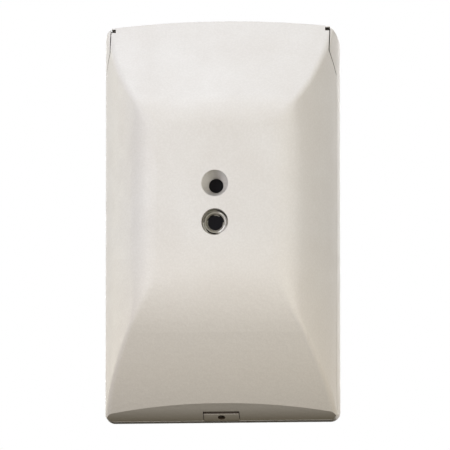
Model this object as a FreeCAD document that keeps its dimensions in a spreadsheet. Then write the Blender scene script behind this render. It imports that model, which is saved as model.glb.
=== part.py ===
# Wall-mounted acoustic glass break sensor with a hinged front cover.
#
# Frame: X to the right, Z up, the wall face of the base lies in the plane Y = 0 and the
# origin is at its centre. The front of the sensor looks along -Y, so "depth" below is the
# distance forward of the wall face, that is -Y. All lengths are in millimetres.

import FreeCAD, Part
import math
import os
import re
import Sketcher
from FreeCAD import Placement, Rotation, Vector

os.makedirs("parts", exist_ok=True)
doc = FreeCAD.newDocument("glass_break_sensor")

SIZES = {
    # Housing: outline from the front, one master form that is split into cover and base
    "width": 74.5,
    "height": 127,
    "depth": 35,
    "top_arc_radius": 360,
    "top_corner_radius": 5,
    "bottom_corner_radius": 3,
    # Convex side faces, seen from above, and the slight crown of the front
    "side_radius": 48,
    "crown_radius": 250,
    # Front profile, seen from the side, from the top edge down
    "top_edge_depth": 12,
    "slope_angle": 36.5,
    "knee_radius": 17,
    "curve_rise": 44.5,
    "curve_radius": 38,
    "curve_turn": 31,
    "sweep_radius": 122,
    "sweep_turn": 22,
    "band_start": 4.8,
    "band_angle": 25.5,
    "ridge_radius": 12,
    "ridge_end_radius": 2,
    # Moulded walls and the parting line
    "wall": 2,
    "base_wall": 2,
    "plate": 2.2,
    "inner_corner_radius": 1,
    "base_depth": 8,
    "seam_gap": 0.25,
    "foot_rise": 1.9,
    "step_rise": 5.2,
    # Hinge at the two top ears
    "hinge_depth": 6.4,
    "hinge_drop": 4,
    "ear_width": 2.3,
    "ear_length": 16.7,
    "ear_angle": 43,
    "pin_radius": 1.2,
    "pin_fit": 0.08,
    "pin_proud": 0.2,
    "lug_radius": 2.4,
    "lug_width": 2.25,
    "mouth_grip": 0.2,
    "notch_width": 1.4,
    "notch_drop": 3.3,
    "notch_height": 1.15,
    "notch_depth": 3.2,
    "shelf_drop": 6.7,
    # Latch in the bottom slant
    "latch_width": 11.2,
    "latch_gap": 0.2,
    "latch_depth": 8.3,
    "latch_slot": 1.35,
    "latch_hole_radius": 1.15,
    "latch_hole_depth": 6.6,
    "latch_engagement": 0.6,
    "latch_wall": 1.6,
    "latch_plate": 1.2,
    "latch_arm": 1.5,
    "latch_barb": 1.2,
    "ledge_depth": 1.45,
    "ledge_rise": 7,
    # Microphone and light recesses of the front panel
    "mic_height": 8.1,
    "mic_rim_radius": 4.25,
    "mic_hole_radius": 2.3,
    "mic_recess": 6.2,
    "mic_throat": 0.5,
    "cloth_radius": 3.1,
    "cloth_thickness": 0.35,
    "boss_radius": 5.5,
    "boss_end": 24,
    "light_height": -4.2,
    "light_rim_radius": 4.25,
    "light_recess": 2,
    "flange_thickness": 1.75,
    "lens_bead": 0.45,
    "lens_bead_middle": 3.2,
    "lens_well_radius": 2.6,
    "lens_well": 1.3,
    "stem_radius": 2.2,
    "light_boss_end": 26,
    "slip": 0.08,
    # Two stiffening ribs behind the flat panel
    "rib_side": 14,
    "rib_width": 1,
    "rib_reach": 1.8,
    "rib_top": 26,
    "rib_bottom": -18,
    # Circuit board on its bosses
    "board_depth": 9,
    "board_thickness": 1.6,
    "board_width": 60,
    "board_top": 42,
    "board_bottom": -40,
    "board_corner_radius": 2,
    "post_inset": 4.5,
    "post_radius": 3,
    "pilot_radius": 1.1,
    "screw_radius": 1,
    "screw_head_radius": 2.6,
    "screw_head_height": 1.7,
    "screw_length": 6,
    "peg_radius": 1.4,
    "peg_proud": 0.8,
    "clip_gap": 0.2,
    "clip_thickness": 1.5,
    "clip_hook": 1,
    "clip_head": 1.2,
    "clip_width": 6,
    # Wall screw holes of the base
    "wall_screw_pitch": 98,
    "wall_screw_radius": 2.25,
    "wall_screw_pad": 5,
    "screw_pad_rise": 0.8,
    # Microphone capsule in its boot
    "capsule_radius": 4.8,
    "capsule_length": 5,
    "boot_radius": 5.6,
    "seat_gap": 0.3,
    # Light emitting diode
    "diode_radius": 1.5,
    "diode_top": 15.8,
    # Battery cell in its holder
    "cell_radius": 8.5,
    "cell_length": 33.5,
    "nub_radius": 3,
    "nub_length": 1,
    "cell_height": -25,
    "cell_clearance": 0.15,
    "holder_floor": 1.2,
    "holder_wall": 1.6,
    "holder_rail": 9,
    "contact_thickness": 0.4,
    "contact_width": 9,
    "spring_reach": 1.6,
    # Tamper switch under its post
    "tamper_side": 22,
    "tamper_height": 22,
    "tamper_body": 6.2,
    "tamper_body_height": 3.6,
    "plunger_radius": 1.6,
    "plunger_length": 4.4,
    "plunger_exposed": 2.6,
    "tamper_post_radius": 2.2,
    # Sensitivity switch block
    "switch_side": -21,
    "switch_height": 2,
    "switch_width": 6.6,
    "switch_length": 9.6,
    "switch_depth": 3.4,
    "slider_width": 1.3,
    "slider_length": 1.5,
    "slider_travel": 1.4,
    "slider_pitch": 2.54,
    "slider_stand": 0.7,
    # Radio: shield can and wire antenna
    "shield_side": 5,
    "shield_height": 31,
    "shield_width": 19,
    "shield_length": 14,
    "shield_depth": 2.8,
    "shield_sheet": 0.3,
    "antenna_radius": 0.5,
    "antenna_side": -21.5,
    "antenna_height": 38.5,
    "antenna_rise": 5.5,
    "antenna_span": 38.5,
    "antenna_tail": 9,
    "antenna_bend": 1.6,
    # Chips and small parts on the board
    "processor_side": -13,
    "processor_height": 24,
    "processor_width": 7,
    "amplifier_side": -9.5,
    "amplifier_height": 10.5,
    "amplifier_width": 3.9,
    "amplifier_length": 4.9,
    "regulator_side": 24,
    "regulator_height": 6,
    "chip_depth": 1.4,
    "lead_width": 0.36,
    "lead_reach": 1,
    "crystal_side": -22.5,
    "crystal_height": 30,
    "crystal_width": 4.4,
    "crystal_length": 10.4,
    "crystal_depth": 3.4,
    "capacitor_side": 17,
    "capacitor_height": -4,
    "capacitor_radius": 3.15,
    "capacitor_length": 7.2,
    "header_side": -22,
    "header_height": 16,
    "header_pitch": 2.54,
    "header_pin": 0.6,
    "header_rise": 8.5,
    "small_length": 2,
    "small_width": 1.25,
    "small_depth": 0.6,
    "small_pitch": 3,
}

sheet = doc.addObject("Spreadsheet::Sheet", "sizes")
for row, (size_name, number) in enumerate(SIZES.items(), start=1):
    sheet.set("A%d" % row, size_name.replace("_", " "))
    sheet.set("B%d" % row, str(number))
    sheet.setAlias("B%d" % row, size_name)
doc.recompute()

# Places that several pieces share, as expressions over the sizes above
HALF = "(width / 2)"
TOP = "(height / 2)"
BOTTOM = "(-height / 2)"
HINGE_HEIGHT = "(height / 2 - hinge_drop)"
EAR_PLANE = "(width / 2 - ear_width)"
CHEEK_PLANE = "(width / 2 - ear_width - seam_gap)"
BOARD_FRONT = "(board_depth + board_thickness)"
CLOTH_FRONT = "(depth - mic_recess - mic_throat)"
LEDGE_BACK = "(latch_depth + latch_slot + seam_gap)"
LEDGE_TOP = "(-height / 2 + ledge_rise)"
CELL_DEPTH = "(board_depth + board_thickness + holder_floor + cell_clearance + cell_radius)"
SWITCH_FRONT = "(board_depth + board_thickness + switch_depth)"
TAMPER_FRONT = "(board_depth + board_thickness + tamper_body_height)"
SLIDER_FOOT = "(switch_height - slider_length / 2 - slider_travel / 2)"
TAB_FACE = "(cell_length / 2 + nub_length + cell_clearance)"
EAR_FOOT = "(height / 2 - ear_length)"


def qualified(expression):
    """Point each size that an expression names at its cell."""
    return re.sub(r"[a-z][a-z_]+", lambda word: cell_name(word.group()), expression)


def cell_name(word):
    """Name of a size's cell, or the word itself where it is a function."""
    return "sizes." + word if word in SIZES else word


def value(expression):
    """Number that an expression gives with the present sizes."""
    return float(sheet.evalExpression(qualified(str(expression))))


def bind(target, **expressions):
    """Tie properties of an object to expressions over the sizes."""
    for name, expression in expressions.items():
        target.setExpression(name, qualified(str(expression)))


def put(target, x, d, z):
    """Tie an object's place to a side, a depth and a height."""
    target.setExpression("Placement.Base.x", qualified(str(x)))
    target.setExpression("Placement.Base.y", qualified("-(%s)" % d))
    target.setExpression("Placement.Base.z", qualified(str(z)))


def mirrored(span, side):
    """Span from the right-hand side, or its mirror image on the left."""
    low, high = span
    return (low, high) if side > 0 else ("-(%s)" % high, "-(%s)" % low)


def block(name, x, d, z):
    """Straight block between two sides, two depths and two heights."""
    solid = doc.addObject("Part::Box", name)
    bind(solid, Length="%s - (%s)" % (x[1], x[0]), Width="%s - (%s)" % (d[1], d[0]))
    bind(solid, Height="%s - (%s)" % (z[1], z[0]))
    put(solid, x[0], d[1], z[0])
    return solid


def rod(name, x, d, z, radius, length, axis="d"):
    """Round rod that points forward (axis d) or to the right (axis x)."""
    solid = doc.addObject("Part::Cylinder", name)
    bind(solid, Radius=radius, Height=length)
    turn = Vector(1, 0, 0) if axis == "d" else Vector(0, 1, 0)
    solid.Placement = Placement(Vector(), Rotation(turn, 90))
    put(solid, x, d, z)
    return solid


def cone(name, x, d, z, back_radius, front_radius, length):
    """Cone along the depth, given by its radii at the back and at the front."""
    solid = doc.addObject("Part::Cone", name)
    bind(solid, Radius1=back_radius, Radius2=front_radius, Height=length)
    solid.Placement = Placement(Vector(), Rotation(Vector(1, 0, 0), 90))
    put(solid, x, d, z)
    return solid


def fuse(name, *solids):
    """Join touching solids into one."""
    joined = doc.addObject("Part::MultiFuse", name)
    joined.Shapes = list(solids)
    joined.Refine = True
    return joined


def cut(name, base, *tools):
    """Take one or more tools away from a solid."""
    remains = doc.addObject("Part::Cut", name)
    remains.Base = base
    remains.Tool = tools[0] if len(tools) == 1 else fuse(name + "_tools", *tools)
    remains.Refine = True
    return remains


def common(name, base, tool):
    """Keep what two solids share."""
    shared = doc.addObject("Part::Common", name)
    shared.Base = base
    shared.Tool = tool
    shared.Refine = True
    return shared


def group(name, solids):
    """Like pieces that share one node, each still a solid of its own."""
    gathered = doc.addObject("Part::Compound", name)
    gathered.Links = list(solids)
    return gathered


def new_body(name):
    """Empty body for sketched features."""
    return doc.addObject("PartDesign::Body", name)


def new_sketch(body, role, name, offset="0"):
    """Sketch on one of the body's own origin planes, moved along its normal."""
    plane = next(item for item in body.Origin.OriginFeatures if item.Role == role)
    sketch = body.newObject("Sketcher::SketchObject", name)
    sketch.AttachmentSupport = [(plane, "")]
    sketch.MapMode = "FlatFace"
    sketch.setExpression("AttachmentOffset.Base.z", qualified(offset))
    return sketch


def pin_point(sketch, item, end, x, y):
    """Hold one point of a sketch at two expressions."""
    for kind, expression in (("DistanceX", x), ("DistanceY", y)):
        index = sketch.addConstraint(Sketcher.Constraint(kind, item, end, value(expression)))
        sketch.setExpression("Constraints[%d]" % index, qualified(str(expression)))


def arc_between(start, finish, radius, turn):
    """Arc of a given radius from start to finish that turns left (1) or right (-1)."""
    chord = finish.sub(start)
    middle = start.add(finish).multiply(0.5)
    rise = math.sqrt(max(radius ** 2 - (chord.Length / 2) ** 2, 0))
    left = Vector(-chord.y, chord.x, 0).normalize()
    centre = middle.add(left.multiply(rise * turn))
    first, last = (start, finish) if turn > 0 else (finish, start)
    angles = [math.atan2(point.y - centre.y, point.x - centre.x) for point in (first, last)]
    if angles[1] < angles[0]:
        angles[1] += 2 * math.pi
    return Part.ArcOfCircle(Part.Circle(centre, Vector(0, 0, 1), radius), *angles)


def draw(sketch, corners, mirror=False):
    """Close an outline through its corners.

    A corner is (x, y) and a straight line leaves it, or (x, y, radius, turn) and an arc
    leaves it, to the left for a turn of 1 and to the right for -1. With mirror, x is
    negated and the arcs turn the other way.
    """
    flip = -1 if mirror else 1
    places = [("%d * (%s)" % (flip, corner[0]), corner[1]) for corner in corners]
    points = [Vector(value(x), value(y), 0) for x, y in places]
    ends = []
    first_item = sketch.GeometryCount
    for index, corner in enumerate(corners):
        start, finish = points[index], points[(index + 1) % len(points)]
        if len(corner) == 2:
            sketch.addGeometry(Part.LineSegment(start, finish), False)
            ends.append((1, 2))
            continue
        turn = corner[3] * flip
        sketch.addGeometry(arc_between(start, finish, value(corner[2]), turn), False)
        ends.append((1, 2) if turn > 0 else (2, 1))
    for index, corner in enumerate(corners):
        item = first_item + index
        after = (index + 1) % len(corners)
        joint = (item, ends[index][1], first_item + after, ends[after][0])
        sketch.addConstraint(Sketcher.Constraint("Coincident", *joint))
        pin_point(sketch, item, ends[index][0], *places[index])
        if len(corner) == 4:
            limit = Sketcher.Constraint("Radius", item, value(corner[2]))
            constraint = sketch.addConstraint(limit)
            sketch.setExpression("Constraints[%d]" % constraint, qualified(str(corner[2])))


def draw_circle(sketch, x, y, radius):
    """Full circle about a point."""
    centre = Vector(value(x), value(y), 0)
    item = sketch.addGeometry(Part.Circle(centre, Vector(0, 0, 1), value(radius)), False)
    pin_point(sketch, item, 3, x, y)
    limit = sketch.addConstraint(Sketcher.Constraint("Radius", item, value(radius)))
    sketch.setExpression("Constraints[%d]" % limit, qualified(str(radius)))


def draw_axis(sketch, start, finish):
    """Construction line that a profile turns about."""
    ends = [Vector(value(x), value(y), 0) for x, y in (start, finish)]
    item = sketch.addGeometry(Part.LineSegment(*ends), True)
    pin_point(sketch, item, 1, *start)
    pin_point(sketch, item, 2, *finish)


def feature(body, kind, name, sketch):
    """Sketched feature of a body."""
    item = body.newObject("PartDesign::" + kind, name)
    item.Profile = sketch
    return item


def pad(body, sketch, length, both_ways=False):
    """Grow a sketch along its normal, or half each way."""
    item = feature(body, "Pad", sketch.Name + "_pad", sketch)
    item.SideType = "Symmetric" if both_ways else "One side"
    bind(item, Length=length)
    return item


def pocket(body, sketch, length, both_ways=False, forward=False):
    """Cut a sketch into the body: half each way, forward along its normal, or back."""
    item = feature(body, "Pocket", sketch.Name + "_pocket", sketch)
    item.SideType = "Symmetric" if both_ways else "One side"
    item.Reversed = forward
    bind(item, Length=length)
    return item


def rounded(x, z, radius):
    """Corners of a rectangle with round corners."""
    (left, right), (low, high) = x, z
    return [
        ("%s + %s" % (left, radius), low),
        ("%s - %s" % (right, radius), low, radius, 1),
        (right, "%s + %s" % (low, radius)),
        (right, "%s - %s" % (high, radius), radius, 1),
        ("%s - %s" % (right, radius), high),
        ("%s + %s" % (left, radius), high, radius, 1),
        (left, "%s - %s" % (high, radius)),
        (left, "%s + %s" % (low, radius), radius, 1),
    ]


def slab(name, corners, start, length):
    """Flat piece parallel to the wall: an outline grown forward from a depth."""
    body = new_body(name)
    sketch = new_sketch(body, "XZ_Plane", name + "_outline", start)
    draw(sketch, corners)
    pad(body, sketch, length)
    return body


def across(name, corners, width, side="0"):
    """Piece with one side view, (depth, height) corners, centred on a side."""
    body = new_body(name)
    sketch = new_sketch(body, "YZ_Plane", name + "_side", side)
    draw(sketch, corners, mirror=True)
    pad(body, sketch, width, both_ways=True)
    return body


def turned(name, side, height, profile):
    """Turned piece about an axis along the depth; the profile is (radius, depth)."""
    body = new_body(name)
    sketch = new_sketch(body, "YZ_Plane", name + "_profile", side)
    corners = [(corner[1], "%s + %s" % (height, corner[0]), *corner[2:]) for corner in profile]
    draw(sketch, corners, mirror=True)
    draw_axis(sketch, ("0", height), ("-10", height))
    item = feature(body, "Revolution", name + "_turned", sketch)
    item.ReferenceAxis = (sketch, ["Axis0"])
    item.Angle = 360
    return body


def outline(inset):
    """Front view of the housing, moved in by inset: bowed top and round corners."""
    half = "(width / 2 - %s)" % inset
    foot = "(-height / 2 + %s)" % inset
    low_round = "(bottom_corner_radius - %s)" % inset
    high_round = "(top_corner_radius - %s)" % inset
    arc = "(top_arc_radius - %s)" % inset
    centre = "(height / 2 - top_arc_radius)"
    reach = "(%s - %s)" % (half, high_round)
    rise = "sqrt((%s - %s) ^ 2 - %s ^ 2)" % (arc, high_round, reach)
    shoulder = "(%s + %s)" % (centre, rise)
    scale = "(%s / (%s - %s))" % (arc, arc, high_round)
    crest_x = "(%s * %s)" % (reach, scale)
    crest_z = "(%s + %s * %s)" % (centre, rise, scale)
    return [
        ("-%s + %s" % (half, low_round), foot),
        ("%s - %s" % (half, low_round), foot, low_round, 1),
        (half, "%s + %s" % (foot, low_round)),
        (half, shoulder, high_round, 1),
        (crest_x, crest_z, arc, 1),
        ("-" + crest_x, crest_z, high_round, 1),
        ("-" + half, shoulder),
        ("-" + half, "%s + %s" % (foot, low_round), low_round, 1),
    ]


def side_cutter(inset):
    """Plan view of what lies outside one convex side face."""
    edge = "(width / 2 - %s)" % inset
    radius = "(side_radius - %s)" % inset
    reach = "(depth + 1)"
    far = "(width / 2 - side_radius + sqrt(%s ^ 2 - %s ^ 2))" % (radius, reach)
    return [
        (edge, "0", radius, -1),
        (far, "-" + reach),
        ("width / 2 + 3", "-" + reach),
        ("width / 2 + 3", "0"),
    ]


def front_cutter(inset):
    """Side view of what lies in front of the front face.

    From the top: a straight slope, a round knee, the flat panel, a tighter curve and a
    long sweep down to the bottom edge.
    """
    panel = "(depth - %s)" % inset
    top_depth = "(top_edge_depth - %s / cos(slope_angle))" % inset
    knee = "(knee_radius - %s)" % inset
    knee_corner = "(height / 2 - (%s - %s) / tan(slope_angle))" % (panel, top_depth)
    knee_leg = "(%s * tan(slope_angle / 2))" % knee
    curve = "(curve_radius - %s)" % inset
    sweep = "(sweep_radius - %s)" % inset
    low_turn = "(curve_turn + sweep_turn)"
    curve_start = "(-height / 2 + curve_rise)"
    curve_depth = "(%s - %s * (1 - cos(curve_turn)))" % (panel, curve)
    curve_low = "(%s - %s * sin(curve_turn))" % (curve_start, curve)
    sweep_depth = "(%s - %s * (cos(curve_turn) - cos(%s)))" % (curve_depth, sweep, low_turn)
    sweep_low = "(%s - %s * (sin(%s) - sin(curve_turn)))" % (curve_low, sweep, low_turn)
    return [
        ("%s - 2 * tan(slope_angle)" % top_depth, "height / 2 + 2"),
        ("%s - %s * sin(slope_angle)" % (panel, knee_leg),
         "%s + %s * cos(slope_angle)" % (knee_corner, knee_leg), knee, -1),
        (panel, "%s - %s" % (knee_corner, knee_leg)),
        (panel, curve_start, curve, -1),
        (curve_depth, curve_low, sweep, -1),
        (sweep_depth, sweep_low),
        ("depth + 9", sweep_low),
        ("depth + 9", "height / 2 + 2"),
    ]


def band_height(depth, inset="0"):
    """Height of the slanted bottom band at a depth."""
    return "(-height / 2 + %s / cos(band_angle) + (%s - band_start) * tan(band_angle))" % (
        inset, depth)


def band_cutter(inset):
    """Side view of what lies below the slanted bottom band."""
    back = "(band_start - 2)"
    return [
        (back, band_height(back, inset)),
        (back, "-height / 2 - 5"),
        ("depth", "-height / 2 - 5"),
        ("depth", band_height("depth", inset)),
    ]


def housing_form(name, inset):
    """Outer form of the closed housing, or the same form moved in by inset."""
    body = new_body(name)
    front = new_sketch(body, "XZ_Plane", name + "_outline")
    draw(front, outline(inset))
    pad(body, front, "depth + 1")
    plan = new_sketch(body, "XY_Plane", name + "_plan")
    draw(plan, side_cutter(inset))
    draw(plan, side_cutter(inset), mirror=True)
    pocket(body, plan, "height + 2", both_ways=True)
    profile = new_sketch(body, "YZ_Plane", name + "_profile")
    draw(profile, front_cutter(inset), mirror=True)
    draw_axis(profile, ("crown_radius - depth", "0"), ("crown_radius - depth", "10"))
    groove = feature(body, "Groove", name + "_front", profile)
    groove.ReferenceAxis = (profile, ["Axis0"])
    groove.Midplane = True
    groove.Angle = 30
    band = new_sketch(body, "YZ_Plane", name + "_band")
    draw(band, band_cutter(inset), mirror=True)
    pocket(body, band, "width + 2", both_ways=True)
    return body


def is_side_face(face):
    """Whether a face is one of the two convex side faces."""
    surface = face.Surface
    round_face = isinstance(surface, Part.Cylinder) and abs(surface.Axis.z) > 0.9
    return round_face and abs(surface.Radius - value("side_radius")) < 1e-6


def is_front_face(face):
    """Whether a face belongs to the crowned front."""
    surface = face.Surface
    if isinstance(surface, Part.Toroid):
        return True
    if isinstance(surface, Part.Cone):
        return abs(surface.Axis.z) > 0.9
    round_face = isinstance(surface, Part.Cylinder) and abs(surface.Axis.z) > 0.9
    return round_face and abs(surface.Radius - value("crown_radius")) < 1e-6


def ridge_edges(shape):
    """Numbers and edges where the crowned front meets the side faces."""
    side_faces = [face for face in shape.Faces if is_side_face(face)]
    front_faces = [face for face in shape.Faces if is_front_face(face)]
    ridges = []
    for number, edge in enumerate(shape.Edges, start=1):
        on_side = any(edge.isSame(other) for face in side_faces for other in face.Edges)
        on_front = any(edge.isSame(other) for face in front_faces for other in face.Edges)
        if on_side and on_front:
            ridges.append((number, edge))
    return ridges


def ridge_radius_at(height):
    """Ridge radius at a height: full beside the flat panel, small beyond knee and curve."""
    knee_top = value("height / 2 - (depth - top_edge_depth) / tan(slope_angle)")
    curve_start = value("-height / 2 + curve_rise")
    beside_panel = curve_start - 0.01 < height < knee_top
    return value("ridge_radius" if beside_panel else "ridge_end_radius")


def ridge_laws(shape):
    """Number of each ridge edge with its radius at the start and at the end.

    The edges of one ridge run on smoothly, so start and end follow the direction of the
    ridge's first edge, which points up or down.
    """
    laws = []
    for side in (-1, 1):
        ridge = [item for item in ridge_edges(shape) if item[1].CenterOfMass.x * side > 0]
        lead = ridge[0][1]
        falls = lead.firstVertex().Z > lead.lastVertex().Z
        for number, edge in ridge:
            start, end = sorted((vertex.Z for vertex in edge.Vertexes), reverse=falls)
            laws.append((number, ridge_radius_at(start), ridge_radius_at(end)))
    return laws


def soften_ridges(body):
    """Round the ridges between front and sides, widest beside the flat panel."""
    doc.recompute()
    ridges = doc.addObject("Part::Fillet", "housing_ridges")
    ridges.Base = body
    ridges.Edges = ridge_laws(body.Shape)
    return ridges


def parting_zone(name, gap):
    """All that lies behind the parting line, moved forward by the gap."""
    back = "(base_depth + %s)" % gap
    foot = "(band_start + %s)" % gap
    body = new_body(name)
    sketch = new_sketch(body, "YZ_Plane", name + "_side")
    draw(sketch, [
        ("-1", "-height / 2 - 1"),
        (foot, "-height / 2 - 1"),
        (foot, "-height / 2 + foot_rise"),
        (back, "-height / 2 + step_rise"),
        (back, "height / 2 + 1"),
        ("-1", "height / 2 + 1"),
    ], mirror=True)
    pad(body, sketch, "width + 2", both_ways=True)
    return body


def ear_zone(name, side, growth, plane):
    """Wedge above the slanted foot of an ear, outside a plane near the side face."""
    foot = "(%s - (%s) / cos(ear_angle))" % (EAR_FOOT, growth)
    top = "(%s + 1)" % TOP
    back_low = "(%s - (base_depth + 1) * tan(ear_angle))" % foot
    front = "(base_depth + (%s - %s) / tan(ear_angle))" % (top, foot)
    outside = "(%s + 1)" % HALF
    return across(name, [("-1", back_low), (front, top), ("-1", top)],
                  "(%s - %s)" % (outside, plane),
                  "%d * (%s + %s) / 2" % (side, outside, plane))


def make_rear_base(form):
    """Base moulding: plate, low walls, hinge ears with pins, bosses and the latch."""
    zone = parting_zone("base_zone", "0")
    ears = [ear_zone("ear_%d" % index, side, "0", EAR_PLANE)
            for index, side in enumerate((-1, 1))]
    solid = common("base_block", form, fuse("base_zones", zone, *ears))
    inner_side = "(width / 2 - base_wall)"
    shelf_top = "(%s - shelf_drop)" % TOP
    shelf_low = "(%s - base_wall)" % shelf_top
    above = "(base_depth + 1)"
    hollow = slab("base_hollow", rounded(("-" + inner_side, inner_side),
                  ("(-height / 2 + base_wall)", EAR_FOOT), "inner_corner_radius"), "plate", above)
    throat = block("base_throat", ("-" + EAR_PLANE, EAR_PLANE), ("plate", above),
                   (EAR_FOOT + " - 2", shelf_low))
    groove = block("base_groove", ("-" + EAR_PLANE, EAR_PLANE), ("plate", "depth"),
                   (shelf_top, TOP + " + 1"))
    tray = cut("base_tray", solid, hollow, throat, groove)
    added = [tray, make_latch_tongue()]
    holes = []
    for index, side in enumerate((-1, 1)):
        pin_start = "(%s - lug_width - pin_proud)" % CHEEK_PLANE
        start = pin_start if side > 0 else "(-%s - 0.5)" % EAR_PLANE
        added.append(rod("hinge_pin_%d" % index, start, "hinge_depth", HINGE_HEIGHT,
                         "pin_radius", "%s + 0.5 - %s" % (EAR_PLANE, pin_start), axis="x"))
        added += make_board_clips(index, side)
        height = "%d * wall_screw_pitch / 2" % side
        added.append(rod("screw_pad_%d" % index, "0", "plate - 0.5", height,
                         "wall_screw_pad", "screw_pad_rise + 0.5"))
        holes.append(rod("screw_hole_%d" % index, "0", "-1", height,
                         "wall_screw_radius", "plate + 4"))
    for index, (x, z) in enumerate(board_posts()):
        added.append(rod("board_post_%d" % index, x, "plate - 0.5", z, "post_radius",
                         "board_depth - plate + 0.5"))
        if index in (0, 3):
            holes.append(rod("pilot_%d" % index, x, "plate + 0.8", z, "pilot_radius",
                             "board_depth"))
        else:
            added.append(rod("peg_%d" % index, x, "board_depth - 1", z, "peg_radius",
                             "board_thickness + peg_proud + 1"))
    holes.append(latch_hole())
    return cut("rear_base", fuse("base_joined", *added), *holes)


def board_posts():
    """Centres of the four posts under the board: screws at 0 and 3, pegs at 1 and 2."""
    left = "(-board_width / 2 + post_inset)"
    right = "(board_width / 2 - post_inset)"
    low = "(board_bottom + post_inset)"
    high = "(board_top - post_inset)"
    return [(left, low), (left, high), (right, low), (right, high)]


def make_board_clips(index, side):
    """Snap hook that holds one long edge of the board."""
    inner = "(board_width / 2 + clip_gap)"
    outer = inner + " + clip_thickness"
    front = BOARD_FRONT + " + clip_gap"
    top = front + " + clip_head"
    z = ("-clip_width / 2", "clip_width / 2")
    stem_x = mirrored((inner, outer), side)
    hook_x = mirrored((inner + " - clip_gap - clip_hook", outer), side)
    stem = block("clip_stem_%d" % index, stem_x, ("plate - 0.5", top), z)
    hook = block("clip_hook_%d" % index, hook_x, (front, top), z)
    return [stem, hook]


def make_latch_tongue():
    """Springy tongue that fills the notch of the cover and hooks over its ledge.

    A thin plate follows the slanted band. Behind it a leg rises to the arm, whose barb
    lies in front of the ledge.
    """
    tip = "latch_depth"
    arm_low = "(%s + seam_gap)" % LEDGE_TOP
    arm_high = "(%s + latch_arm)" % arm_low
    barb_back = "(%s + ledge_depth + 0.2)" % LEDGE_BACK
    barb_front = "(%s + latch_barb)" % barb_back
    barb_low = "(%s - latch_engagement)" % LEDGE_TOP
    leg_back = "(band_start - base_wall)"
    leg_front = "(%s + latch_wall)" % leg_back
    return across("latch_tongue", [
        (leg_back, BOTTOM),
        ("band_start", BOTTOM),
        (tip, band_height(tip)),
        (tip, band_height(tip, "latch_plate")),
        (leg_front, band_height(leg_front, "latch_plate")),
        (leg_front, arm_low),
        (barb_back, arm_low),
        (barb_back, barb_low),
        (barb_back + " + latch_barb / 2", barb_low),
        (barb_front, arm_low),
        (barb_front, arm_high),
        (leg_back, arm_high),
    ], "latch_width")


def latch_hole():
    """Small round hole through the plate of the tongue, square to the slanted band."""
    hole = doc.addObject("Part::Cylinder", "latch_hole")
    bind(hole, Radius="latch_hole_radius", Height="latch_plate + 2")
    hole.Placement = Placement(Vector(), Rotation(Vector(-1, 0, 0), value("band_angle")))
    hole.setExpression("Placement.Rotation.Angle", qualified("band_angle"))
    bottom = band_height("latch_hole_depth")
    put(hole, "0", "latch_hole_depth + 1 * sin(band_angle)", "%s - 1 * cos(band_angle)" % bottom)
    return hole


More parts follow.
